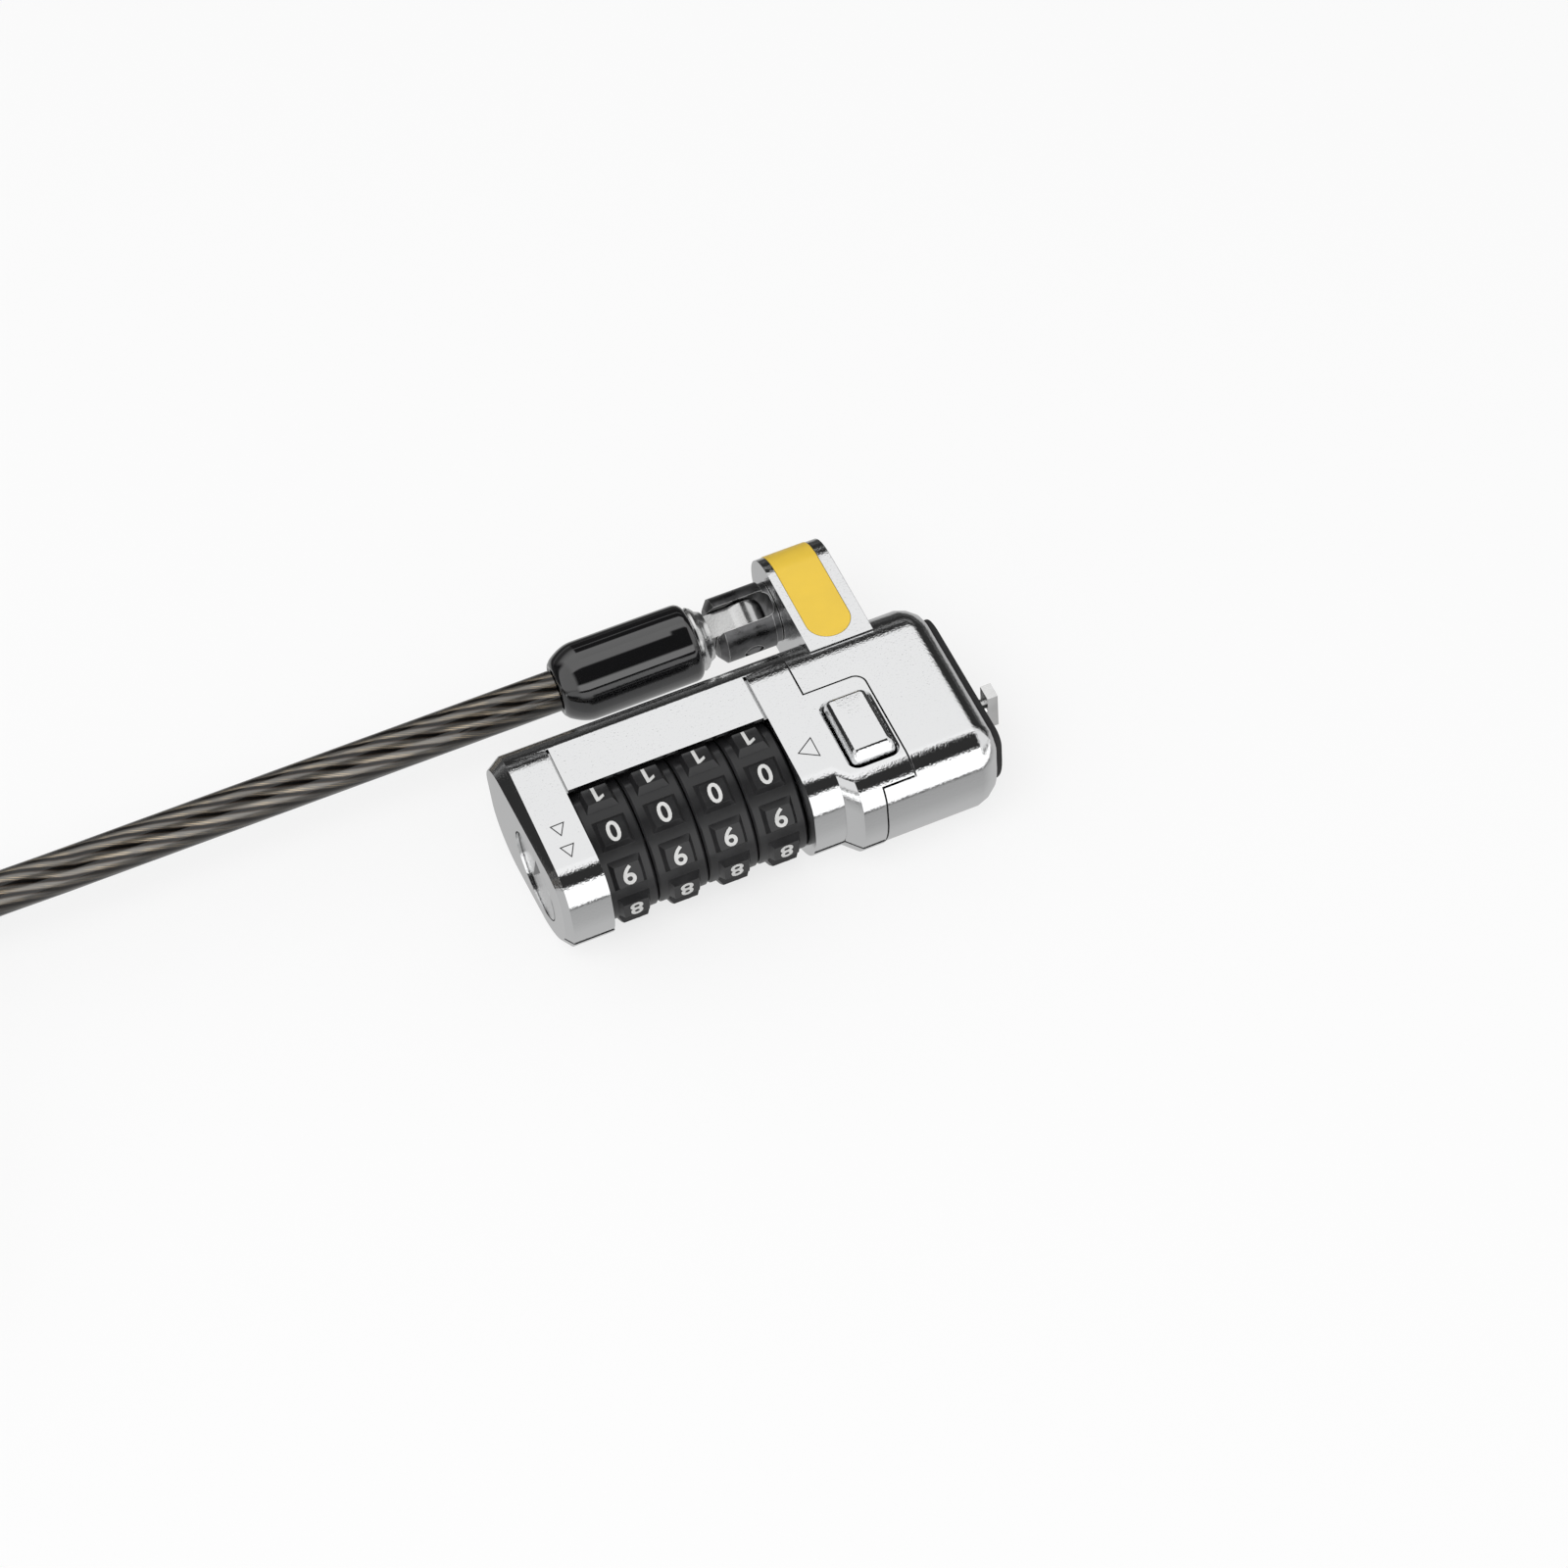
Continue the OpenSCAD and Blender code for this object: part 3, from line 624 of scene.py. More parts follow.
@dataclass(frozen=True)
class SheathedStrand:
    """Twisted steel strands under a clear smoky sheath, drawn on lay lengths and turns."""

    name: str = "smoky_sheath"
    strands: int = 12
    wires: float = 5.0
    wire_lay: float = 1.7
    gap: Rgb = (0.002, 0.0015, 0.001)
    brown: Rgb = (0.05, 0.035, 0.025)
    steel: Rgb = (0.2, 0.19, 0.175)
    # Colour of the painted highlight on the strands' wires.
    glint: Rgb = (0.62, 0.5, 0.34)
    # Colour of the painted shade on the cable's underside.
    underside: Rgb = (0.014, 0.012, 0.01)

    def make(self) -> bpy.types.Material:
        """Builds the material.

        The phase of a strand is the whole part left over of strands x (turn + lay), so each strand
        winds once round the cable in one lay length. The wires in it lie at a steeper angle, and
        only the last third of a strand shows them bright, a painted highlight in the glint colour.
        The cable's underside is painted darker, as painted shade.
        """
        w = Wiring(self.name)
        split = w.add("ShaderNodeSeparateXYZ")
        w.join(w.place(uv=True), split.inputs[0])
        along, turn = split.outputs["X"], split.outputs["Y"]
        wander = w.between(w.noise(w.place(), 9 * MM, 1.0), -0.012, 0.012)
        lie = w.math("ADD", w.math("ADD", turn, along), wander)
        phase = w.math("FRACT", w.math("MULTIPLY", lie, float(self.strands)))
        steep = w.math("ADD", w.math("MULTIPLY_ADD", along, self.wire_lay, turn), wander)
        wire = w.math("FRACT", w.math("MULTIPLY", steep, self.strands * self.wires))
        body = w.shades(phase, [
            (0.0, self.gap), (0.16, self.gap), (0.26, self.brown), (0.4, self.steel),
            (0.8, self.steel), (0.92, self.brown), (1.0, self.gap),
        ])
        off, on = (0, 0, 0), (1, 1, 1)
        # Painted highlight: the last third of each strand takes the glint colour along its wires, in
        # patches.
        bright = w.shades(phase, [(0.5, off), (0.66, on), (0.8, on), (0.92, off)])
        patch = w.between(w.noise(w.place(), 3.5 * MM, 1.0), 0.15, 1.0, 0.4, 0.6)
        shown = w.math("MULTIPLY", bright, patch)
        line = w.math("MULTIPLY", w.between(wire, 0.0, 1.0, 0.35, 0.75), shown)
        # Painted shade: the strands darken towards the cable's underside.
        upward = w.math("COSINE", w.math("MULTIPLY", turn, 2 * math.pi))
        lit = w.between(upward, 0.25, 1.0, 0.0, 0.45)
        strand = w.mixed(line, body, self.glint)
        w.join(w.mixed(lit, self.underside, strand), w.shader.inputs["Base Color"])
        w.set(Metallic=0.85, Roughness=0.36, Coat_Weight=1.0, Coat_Roughness=0.04, Coat_IOR=1.5)
        round_top = w.math("SINE", w.math("MULTIPLY", phase, math.pi))
        w.bump(round_top, 0.16 * MM, 0.6)
        return w.material


@dataclass(frozen=True)
class WovenStrap:
    """A black woven strap, drawn on its own UV in turns of the strap and across it."""

    name: str = "black_strap"
    colour: Rgb = (0.014, 0.014, 0.015)
    ribs: float = 180.0
    picks: float = 26.0

    def make(self) -> bpy.types.Material:
        """Builds the material."""
        w = Wiring(self.name)
        split = w.add("ShaderNodeSeparateXYZ")
        w.join(w.place(uv=True), split.inputs[0])
        along = w.math("SINE", w.math("MULTIPLY", split.outputs["X"], 2 * math.pi * self.ribs))
        across = w.math("SINE", w.math("MULTIPLY", split.outputs["Y"], 2 * math.pi * self.picks))
        weave = w.between(w.math("MULTIPLY", along, across), 0, 1, -1, 1)
        fuzz = w.noise(w.place(), 0.25 * MM, 3.0)
        light = tuple(c * 2.4 for c in self.colour)
        yarn = w.shades(w.math("MULTIPLY", weave, fuzz), [(0.0, self.colour), (0.8, light)])
        w.join(yarn, w.shader.inputs["Base Color"])
        w.set(Roughness=0.85, Sheen_Weight=0.4, Sheen_Roughness=0.4)
        under = w.bump(weave, 0.12 * MM, 0.8)
        w.bump(fuzz, 0.05 * MM, over=under)
        return w.material


class Finishes:
    """All the lock's materials, made once and found by their names."""

    CHROME = Metal(
        "chrome_plate", (0.86, 0.865, 0.87), (0.02, 0.05), 0.32 * MM, 0.028 * MM,
        wave=9 * MM, wave_depth=0.012 * MM, crevice=0.36 * MM,
    )
    STEEL = Metal(
        "bright_steel", (0.86, 0.86, 0.855), (0.14, 0.24), 0.3 * MM, 0.006 * MM, mottle=0.15,
    )
    NICKEL = Metal(
        "dark_nickel", (0.27, 0.27, 0.275), (0.2, 0.46), 0.3 * MM, 0.016 * MM,
        wave=3 * MM, wave_depth=0.02 * MM, mottle=0.65, worn=0.16 * MM,
    )
    BRASS = Metal(
        "brass_bush", (0.78, 0.56, 0.25), (0.18, 0.32), 0.3 * MM, 0.004 * MM, mottle=0.15,
    )
    BAND = Moulded(
        "yellow_band", (0.84, 0.57, 0.05), (0.3, 0.4), 0.3 * MM, 0.004 * MM,
        shade=0.05, coat=0.25, coat_roughness=0.25,
    )
    DIAL = Moulded(
        "black_dial", (0.02, 0.02, 0.021), (0.28, 0.4), 0.16 * MM, 0.004 * MM, shade=0.25,
    )
    RUBBER = Moulded(
        "black_rubber", (0.02, 0.02, 0.021), (0.65, 0.85), 0.2 * MM, 0.02 * MM, shade=0.3,
    )
    BOOT = Moulded(
        "black_boot", (0.005, 0.005, 0.0055), (0.05, 0.08), 0.5 * MM, 0.001 * MM,
        wave=6 * MM, wave_depth=0.012 * MM, coat=0.9, coat_roughness=0.03, level=1.0,
    )
    DIGIT = Moulded(
        "digit_paint", (0.68, 0.68, 0.67), (0.45, 0.6), 0.12 * MM, 0.006 * MM, shade=0.12,
    )
    # Colour of the painted shade round each number.
    GROOVE = Moulded("digit_outline_shade", (0.006, 0.006, 0.006), (0.5, 0.7), 0.12 * MM, 0.004 * MM)
    MARK = Moulded("mark_enamel", (0.03, 0.03, 0.032), (0.3, 0.45), 0.1 * MM, 0.004 * MM)

    def __init__(self) -> None:
        """Makes every material."""
        kinds = (
            self.CHROME, self.STEEL, self.NICKEL, self.BRASS, self.BAND, self.DIAL, self.RUBBER,
            self.BOOT, self.DIGIT, self.GROOVE, self.MARK, SheathedStrand(), WovenStrap(),
        )
        self.made = {kind.name: kind.make() for kind in kinds}

    def paint(
        self, obj: bpy.types.Object, name: str
    ) -> bpy.types.Object:
        """Gives a piece one material over all its faces.

        Args:
            obj: The piece.
            name: The material's name.

        Returns:
            The piece.
        """
        obj.data.materials.clear()
        obj.data.materials.append(self.made[name])
        return obj

    def paint_node(self, node: bpy.types.Object, name: str) -> None:
        """Gives a node of the frame one material in each of its slots."""
        for slot in node.material_slots:
            slot.link = "OBJECT"
            slot.material = self.made[name]


# ---- castings and machined parts -------------------------------------------------------------


@dataclass(frozen=True)
class Dressed:
    """A node of the frame, shown by a copy with edges rounded as a die or a cutter leaves them."""

    node: str
    finish: str
    edge: float = 0.2
    segments: int = 2
    angle: float = 28.0
    round_x: float | None = None
    round_y: float = 0.0
    round_edge: float = 0.0

    SAME = 2e-6  # metres within which two corners are one
    FLAT = 0.6  # degrees within which two faces are one
    IN_PLANE = 0.05  # millimetres from the plane of the widest rounding

    def weigh(self, shape: bmesh.types.BMesh) -> None:
        """Marks each sharp edge with its share of the widest rounding.

        The edges that lie in the plane x = round_x beyond y = round_y take round_edge, and all
        other sharp ones take edge. Both places are counted from the laptop's side and the dials'
        axis.

        Args:
            shape: The node's mesh.
        """
        layer = shape.edges.layers.float.new("bevel_weight_edge")
        for line in shape.edges:
            if len(line.link_faces) != 2 or line.calc_face_angle(0.0) < math.radians(self.angle):
                continue
            ends = [(v.co.x / MM - DATUM.face_x, v.co.y / MM - DATUM.axis_y) for v in line.verts]
            wide = all(
                abs(x - self.round_x) < self.IN_PLANE and y > self.round_y for x, y in ends
            )
            line[layer] = 1.0 if wide else self.edge / self.round_edge

    def build(self, frame: dict[str, Any], finishes: Finishes) -> bpy.types.Object:
        """Copies the node, merges its triangles into flat faces and rounds its sharp edges.

        Args:
            frame: The loaded frame.
            finishes: The lock's materials.

        Returns:
            The copy, which stands for the node.
        """
        source = frame["nodes"][self.node]
        mesh = source.data.copy()
        mesh.name = f"{self.node}_dressed"
        shape = bmesh.new()
        shape.from_mesh(mesh)
        bmesh.ops.remove_doubles(shape, verts=shape.verts, dist=self.SAME)
        bmesh.ops.dissolve_degenerate(shape, edges=shape.edges, dist=self.SAME)
        bmesh.ops.dissolve_limit(
            shape, angle_limit=math.radians(self.FLAT), verts=shape.verts, edges=shape.edges
        )
        if self.round_x is not None:
            self.weigh(shape)
        shape.to_mesh(mesh)
        shape.free()
        if mesh.attributes.get("custom_normal"):
            mesh.attributes.remove(mesh.attributes["custom_normal"])
        obj = linked(mesh.name, mesh)
        smooth_by_angle(obj, self.angle)
        if self.edge:
            bevel = obj.modifiers.new("rounded_edges", "BEVEL")
            bevel.width = max(self.edge, self.round_edge) * MM
            bevel.segments = self.segments
            bevel.limit_method = "ANGLE" if self.round_x is None else "WEIGHT"
            bevel.angle_limit = math.radians(self.angle)
            bevel.harden_normals = True
            bevel.use_clamp_overlap = True
            even = obj.modifiers.new("even_shading", "WEIGHTED_NORMAL")
            even.keep_sharp, even.weight = True, 100
        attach(obj, body_of(source)[0])
        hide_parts(self.node)
        finishes.paint(obj, self.finish)
        LOG.info("%s: %d faces", obj.name, len(mesh.polygons))
        return obj


# ---- the viewpoint and the studio ------------------------------------------------------------


@dataclass
class Viewpoint:
    """The camera: where it stands, where it looks and its lens."""

    place: Place = (-0.089335, -0.303345, 0.41031)
    forward: Place = (0.1830, 0.5813, -0.7928)
    right: Place = (0.9203, -0.3850, -0.0699)
    lens: float = 81.0
    sensor: float = 36.0
    near: float = 0.01
    far: float = 20.0

    def build(self) -> bpy.types.Object:
        """Makes the scene's camera."""
        camera = bpy.data.cameras.new("viewpoint")
        camera.lens, camera.sensor_width = self.lens, self.sensor
        camera.clip_start, camera.clip_end = self.near, self.far
        obj = linked("viewpoint", camera)
        back = -Vector(self.forward).normalized()
        up = back.cross(Vector(self.right)).normalized()
        right = up.cross(back)
        obj.matrix_world = Matrix((
            (right.x, up.x, back.x, self.place[0]),
            (right.y, up.y, back.y, self.place[1]),
            (right.z, up.z, back.z, self.place[2]),
            (0, 0, 0, 1),
        ))
        bpy.context.scene.camera = obj
        return obj


BACK_BANDS: Steps = (
    (-180, 0.5), (-91, 0.5), (-89, 0.03), (-67, 0.03), (-66, 0.4), (-64, 0.4), (-63, 0.03),
    (-48, 0.03), (-45.5, 0.92), (-22, 0.92), (-19, 1.0),
)


@dataclass
class Studio:
    """A pale floor, an even sky, softboxes that only polished surfaces mirror, and one soft lamp.

    The softboxes are bands of the sky, each a pair of an angle and a brightness. The angle is
    counted from straight up about the X axis, and grows towards the front. Each further set of
    bands takes over across the X part of a direction that its own bounds give. In mirrors the floor
    glows in rows along Y, each a pair of a place in millimetres and a brightness: a painted
    reflection, with painted shade of the lock near it and a thin dark line in front.
    """

    sky: float = 0.72
    lamp_power: float = 5.0
    lamp_place: Place = (-0.35, -0.45, 0.9)
    lamp_size: float = 0.7
    bands: Steps = BACK_BANDS + ((2, 1.0), (6, 0.03), (48, 0.03), (53, 1.3), (180, 1.3))
    early_bands: Steps = BACK_BANDS + ((-10, 1.0), (-5, 0.03), (49, 0.03), (53, 1.3), (180, 1.3))
    left_bands: Steps = (
        (-180, 0.45), (-95, 0.45), (-88, 0.03), (-50, 0.03), (-36, 0.8), (60, 0.8), (75, 0.3),
        (180, 0.45),
    )
    right_bands: Steps = (
        (-180, 0.3), (-95, 0.3), (-84, 0.03), (-40, 0.03), (-28, 0.8), (60, 0.8), (75, 0.3),
        (180, 0.45),
    )
    far_bands: Steps = (
        (-180, 0.4), (-92, 0.4), (-84, 0.1), (-72, 0.1), (-60, 0.6), (-45, 0.92), (2, 1.0),
        (6, 0.03), (48, 0.03), (53, 1.3), (180, 1.3),
    )
    early_x: tuple[float, float] = (0.19, 0.21)
    far_x: tuple[float, float] = (-0.01, 0.05)
    left_x: tuple[float, float] = (-0.62, -0.5)
    right_x: tuple[float, float] = (0.55, 0.64)
    floor_half: float = 12.0
    floor_z: float = -0.0002
    floor_glow: float = 0.74
    # Brightness the floor glows with in mirrors, by Y: a painted reflection, darker near the lock as painted
    # shade.
    floor_rows: Steps = (
        (-150, 1.25), (-50, 1.25), (-46, 0.1), (-43.5, 0.1), (-41, 0.34), (-26, 0.5), (60, 0.45),
        (85, 0.06), (150, 0.06),
    )

    def build(self) -> None:
        """Builds the floor, the sky and the lamp, and sets the view to plain colours."""
        bpy.context.scene.view_settings.view_transform = "Standard"
        self.lay_floor()
        self.hang_sky()
        lamp = bpy.data.lights.new("soft_lamp", "AREA")
        lamp.energy, lamp.size = self.lamp_power, self.lamp_size
        obj = linked("soft_lamp", lamp)
        obj.location = self.lamp_place
        obj.rotation_euler = (-Vector(self.lamp_place)).to_track_quat("-Z", "Y").to_euler()
        obj.visible_glossy = False

    def lay_floor(self) -> None:
        """Lays the floor: nearly white to the camera with the object's shadow; in mirrors it glows in rows,
        a painted reflection with painted shade near the lock.
        """
        signs = np.array([(-1, -1), (1, -1), (1, 1), (-1, 1)])
        corners = np.column_stack([signs * self.floor_half, np.full(4, self.floor_z)])
        floor = piece_from("floor", corners, [[0, 1, 2, 3]])
        w = Wiring("floor_white")
        w.set(Base_Color=(0.86, 0.86, 0.86, 1), Roughness=0.9)
        glow = w.add("ShaderNodeEmission", Strength=1.0)
        paths = w.add("ShaderNodeLightPath")
        seen = w.math("MAXIMUM", paths.outputs["Is Camera Ray"], paths.outputs["Is Transmission Ray"])
        mix = w.add("ShaderNodeMixShader")
        w.join(w.math("MULTIPLY", seen, self.floor_glow), mix.inputs[0])
        w.join(w.shader.outputs[0], mix.inputs[1])
        w.join(glow.outputs[0], mix.inputs[2])
        split = w.add("ShaderNodeSeparateXYZ")
        w.join(w.place(), split.inputs[0])
        low, high = self.floor_rows[0][0], self.floor_rows[-1][0]
        spread = w.between(split.outputs["Y"], 0, 1, low * MM, high * MM)
        rows = w.shades(spread, [((y - low) / (high - low), (v, v, v)) for y, v in self.floor_rows])
        mirrored = w.add("ShaderNodeEmission", Strength=1.0)
        w.join(rows, mirrored.inputs["Color"])
        both = w.add("ShaderNodeMixShader")
        w.join(paths.outputs["Is Glossy Ray"], both.inputs[0])
        w.join(mix.outputs[0], both.inputs[1])
        w.join(mirrored.outputs[0], both.inputs[2])
        w.join(both.outputs[0], w.out.inputs["Surface"])
        floor.data.materials.append(w.material)

    def hang_sky(self) -> None:
        """Makes the sky: white to the camera, even for soft light, and banded in mirrors."""
        world = bpy.data.worlds.new("studio_sky")
        bpy.context.scene.world = world
        world.use_nodes = True
        w = Wiring.of(world.node_tree)
        split = w.add("ShaderNodeSeparateXYZ")
        w.join(w.add("ShaderNodeTexCoord").outputs["Generated"], split.inputs[0])
        front = w.math("MULTIPLY", split.outputs["Y"], -1.0)
        angle = w.math("ARCTAN2", front, split.outputs["Z"])
        spread = w.between(angle, 0, 1, -math.pi, math.pi)

        def sky_of(bands: Steps) -> bpy.types.NodeSocket:
            """The mirrored brightness of one set of bands."""
            return w.shades(spread, [(degrees / 360 + 0.5, (v, v, v)) for degrees, v in bands])

        side = split.outputs["X"]
        early = w.between(side, 0, 1, *self.early_x)
        sky = w.mixed(early, sky_of(self.bands), sky_of(self.early_bands))
        sky = w.mixed(w.between(side, 1, 0, *self.far_x), sky, sky_of(self.far_bands))
        sky = w.mixed(w.between(side, 1, 0, *self.left_x), sky, sky_of(self.left_bands))
        sky = w.mixed(w.between(side, 0, 1, *self.right_x), sky, sky_of(self.right_bands))
        paths = w.add("ShaderNodeLightPath")
        sky = w.mixed(paths.outputs["Is Glossy Ray"], (self.sky,) * 3, sky)
        sky = w.mixed(paths.outputs["Is Camera Ray"], sky, (1.0, 1.0, 1.0))
        glow = w.add("ShaderNodeBackground")
        w.join(sky, glow.inputs[0])
        out = w.add("ShaderNodeOutputWorld")
        w.join(glow.outputs[0], out.inputs[0])


# ---- the cable -------------------------------------------------------------------------------


@dataclass
class Cable:
    """The sheathed steel cable: out of the boot, down to the floor, wound into a hank, and its eye.

    Every place is in millimetres of the frame, but with y counted from the swivel's axis.
    """

    diameter: float = 6.2
    sides: int = 28
    step: float = 1.1
    lay: float = 80.0
    run: tuple[Place, ...] = (
        (-21.4, 0, 14.2), (-29, 0, 14.2), (-43, 0, 14.2), (-57, 0, 14.2), (-71, 0, 14.2),
        (-85, 0, 14.2), (-98, 0, 14.2), (-105, 0.4, 13.8), (-112, 1.6, 12.2), (-119, 3.5, 9.8),
        (-126, 5.5, 7.2), (-133, 7.1, 5.1), (-139, 8, 4.2), (-145, 8.2, 4), (-152, 8.2, 4),
    )
    lead: tuple[Place, ...] = (
        (-164, 6.1, 11.1), (-170, 5.3, 12.5), (-176, 3.9, 14.6), (-182, 2.3, 16.8),
        (-188, 1.4, 18), (-195, 1.2, 18.3), (-204, 1.2, 18.3), (-215, 1.2, 18.3),
        (-226, 1.2, 18.3), (-238, 1.2, 18.3), (-245.3, -0.3, 18.3), (-251.4, -4.4, 18.3),
        (-255.6, -10.5, 18.3), (-257, -17.8, 18.3), (-255.6, -25.1, 18.3), (-251.4, -31.2, 18.3),
        (-245.3, -35.3, 18.3), (-238, -36.8, 18.3), (-228, -36.8, 18.3), (-219, -36.8, 18.3),
    )
    loop: tuple[Place, ...] = (
        (-197, -36.8, 18.3), (-190, -36.8, 18.3), (-182.2, -37.8, 18.3), (-175, -40.8, 18.3),
        (-168.2, -46.2, 18.3), (-162, -50.4, 18.3), (-154.6, -52.1, 18.3), (-147.2, -50.4, 18.3),
        (-141, -46.1, 18.3), (-137.2, -40.1, 18.3), (-136, -33.5, 18.3), (-137.2, -26.9, 18.3),
        (-141, -20.9, 18.3), (-147.2, -16.6, 18.3), (-154.6, -14.9, 18.3), (-162, -16.6, 18.3),
        (-168.2, -20.8, 18.3), (-175, -26.2, 18.3), (-182.2, -29.2, 18.3), (-190, -30.2, 18.3),
        (-197, -30.2, 18.3),
    )
    hank_mid: tuple[float, float] = (-204.5, -22.3)
    hank_z: float = 4.0
    hank_layer: float = 6.65
    hank_r: float = 30.5
    hank_run: float = 93.0
    hank_waist: float = 12.0
    waist_half: float = 15.5
    hank_step: float = 7.4
    rings_run: int = 6
    rings_fold: int = 6
    ferrule_x: tuple[float, float] = (-219.0, -197.0)
    strap_half: float = 9.0
    strap_thick: float = 0.8

    def hank(self) -> np.ndarray:
        """The hank's path.

        Place n goes round a stadium of 24 places a turn. Its radius shrinks by one step a turn until
        the middle place and then grows again, and the path climbs to the upper layer along the run
        in between. The runs are drawn in under the strap, and half a cosine leads from there to
        their ends.

        Returns:
            Places in millimetres, from the first to the last.
        """
        turn = 2 * (self.rings_run + self.rings_fold)
        top = 1.5 * turn + self.rings_run / 2
        n = np.arange(0, 2 * top - self.rings_run + 1e-6, 0.5)
        r = self.hank_r - self.hank_step * (top - np.abs(top - n)) / turn
        half = n % turn
        flip = np.where(half >= turn / 2, -1.0, 1.0)
        j = half % (turn / 2)
        x = self.hank_run * (0.5 - j / self.rings_run)
        beyond = (np.abs(x) - self.waist_half) / (self.hank_run / 2 - self.waist_half)
        waist = self.hank_waist * (1 + np.cos(np.pi * np.clip(beyond, 0, 1))) / 2
        a = np.radians(90 + 180 * (j - self.rings_run) / self.rings_fold)
        run = j < self.rings_run
        px = np.where(run, x, r * np.cos(a) - self.hank_run / 2)
        py = np.where(run, r - waist, r * np.sin(a))
        s = np.clip((n - top) / self.rings_run + 0.5, 0, 1)
        z = self.hank_z + self.hank_layer * s * s * (3 - 2 * s)
        return np.stack([self.hank_mid[0] + flip * px, self.hank_mid[1] + flip * py, z], -1)

    def tube(self, name: str, points: np.ndarray) -> tuple[bpy.types.Object, np.ndarray]:
        """Carries the cable's circle along a route.

        Point k of a ring stands at the angle 2 pi k / sides from straight up, turned to the left.
        The UV is the length in lay lengths and the angle in turns.

        Args:
            name: The piece's name.
            points: Places to pass through.

        Returns:
            The piece and its centreline in metres.
        """
        path = DATUM.beside(through(points, self.step))
        left, up = ways(path)
        a = np.linspace(0, 2 * np.pi, self.sides, endpoint=False)
        r = self.diameter / 2 * MM
        cos, sin = np.cos(a)[:, None], np.sin(a)[:, None]
        rings = path[:, None] + r * (cos * up[:, None] + sin * left[:, None])
        turns = np.linspace(0, 1, self.sides + 1)
        uv = np.stack(np.meshgrid(run_along(path) / (self.lay * MM), turns, indexing="ij"), -1)
        return ring_surface(name, rings, Ends.CAPPED, uv, 60.0), path

    def build(self, finishes: Finishes, fittings: Sequence[bpy.types.Object]) -> None:
        """Builds the cable, its eye, the ferrule and the strap.

        Args:
            finishes: The lock's materials.
            fittings: The pieces at the boot's end, which are on the cable; not used.
        """
        ferrule = self.ferrule(finishes)
        strap = self.strap(finishes)
        long, path = self.tube("cable", np.vstack([self.run, self.hank(), self.lead]))
        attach(long, "cable")
        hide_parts("cable_run", "cable_hank", "cable_end")
        finishes.paint(long, "smoky_sheath")
        LOG.info("cable: %.3f m", run_along(path)[-1])
        eye, path = self.tube("cable_eye", np.asarray(self.loop))
        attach(eye, "cable")
        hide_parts("end_loop")
        finishes.paint(eye, "smoky_sheath")
        LOG.info("cable_eye: %.3f m", run_along(path)[-1])

    def ferrule(self, finishes: Finishes) -> bpy.types.Object:
        """Builds the crimped ferrule.

        Its cross-section is a flat-sided oval, and along X it is pinched by three crimps, each a dip
        of a squared cosine, and rounded off at both mouths.

        Args:
            finishes: The lock's materials.

        Returns:
            The ferrule.
        """
        leg_a, leg_b = np.asarray(self.loop[0]), np.asarray(self.loop[-1])
        u = np.linspace(0, 1, 89)
        x = self.ferrule_x[0] + (self.ferrule_x[1] - self.ferrule_x[0]) * u
        half = (abs(leg_b[1] - leg_a[1]) + self.diameter + 0.5) / 2
        high = (self.diameter + 0.5) / 2
        a = np.linspace(0, 2 * np.pi, 64, endpoint=False)
        across = flattened(np.cos(a), 0.62)
        upward = flattened(np.sin(a), 0.8)
        dip = np.zeros_like(u)
        for middle in (0.2, 0.5, 0.8):
            near = np.clip((u - middle) / 0.11, -0.5, 0.5)
            dip += 0.4 * np.cos(np.pi * near) ** 2
        mouth = 0.35 * (np.clip(1 - u / 0.03, 0, 1) ** 2 + np.clip(1 - (1 - u) / 0.03, 0, 1) ** 2)
        rings = np.stack([
            np.broadcast_to(x[:, None], (len(u), len(a))),
            (leg_a[1] + leg_b[1]) / 2 + (half - 0.3 * dip[:, None] - mouth[:, None]) * across,
            leg_a[2] + (high - dip[:, None] - mouth[:, None]) * upward,
        ], -1)
        obj = ring_surface("loop_ferrule_crimped", DATUM.beside(rings))
        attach(obj, "cable")
        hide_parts("loop_ferrule")
        return finishes.paint(obj, "bright_steel")

    def strap(self, finishes: Finishes) -> bpy.types.Object:
        """Builds the strap round the hank's waist.

        The strap's loop is a rounded oblong in Y and Z, whose sides are a cosine and a sine raised
        to a small power. Its section across is a thin oblong with bevelled edges.

        Args:
            finishes: The lock's materials.

        Returns:
            The strap.
        """
        width = 2 * (self.hank_r - self.hank_waist) + self.diameter + 0.4
        height = self.hank_layer + self.diameter + 0.2
        t = np.linspace(0, 2 * np.pi, 180, endpoint=False)
        power = 2 / 7
        y = (width / 2) * flattened(np.cos(t), power)
        z = (height / 2) * flattened(np.sin(t), power)
        loop = np.stack([y, z], -1)
        way = np.roll(loop, -1, 0) - np.roll(loop, 1, 0)
        way /= np.linalg.norm(way, axis=1)[:, None]
        out = np.stack([way[:, 1], -way[:, 0]], -1)
        thick = self.strap_thick * 0.96
        edge = 0.25
        side = self.strap_half
        section = np.array([
            (-side, edge), (-side, thick - edge), (-side + edge, thick), (side - edge, thick),
            (side, thick - edge), (side, edge), (side - edge, 0), (-side + edge, 0),
        ])
        yz = loop[:, None] + out[:, None] * section[None, :, 1:2]
        rings = np.concatenate([np.broadcast_to(section[None, :, :1], (*yz.shape[:2], 1)), yz], -1)
        rings = DATUM.beside(rings + (*self.hank_mid, self.strap_thick + height / 2))
        span = run_along(np.vstack([loop, loop[:1]]))
        u = span[:-1] / span[-1]
        v = np.array([0, 0.02, 0.04, 0.5, 0.52, 0.54, 0.56, 0.98, 1.0])
        uv = np.stack(np.meshgrid(u, v, indexing="ij"), -1)
        obj = ring_surface("cable_tie_strap", rings, Ends.JOINED, uv, 50.0)
        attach(obj, "cable")
        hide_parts("cable_tie")
        return finishes.paint(obj, "black_strap")


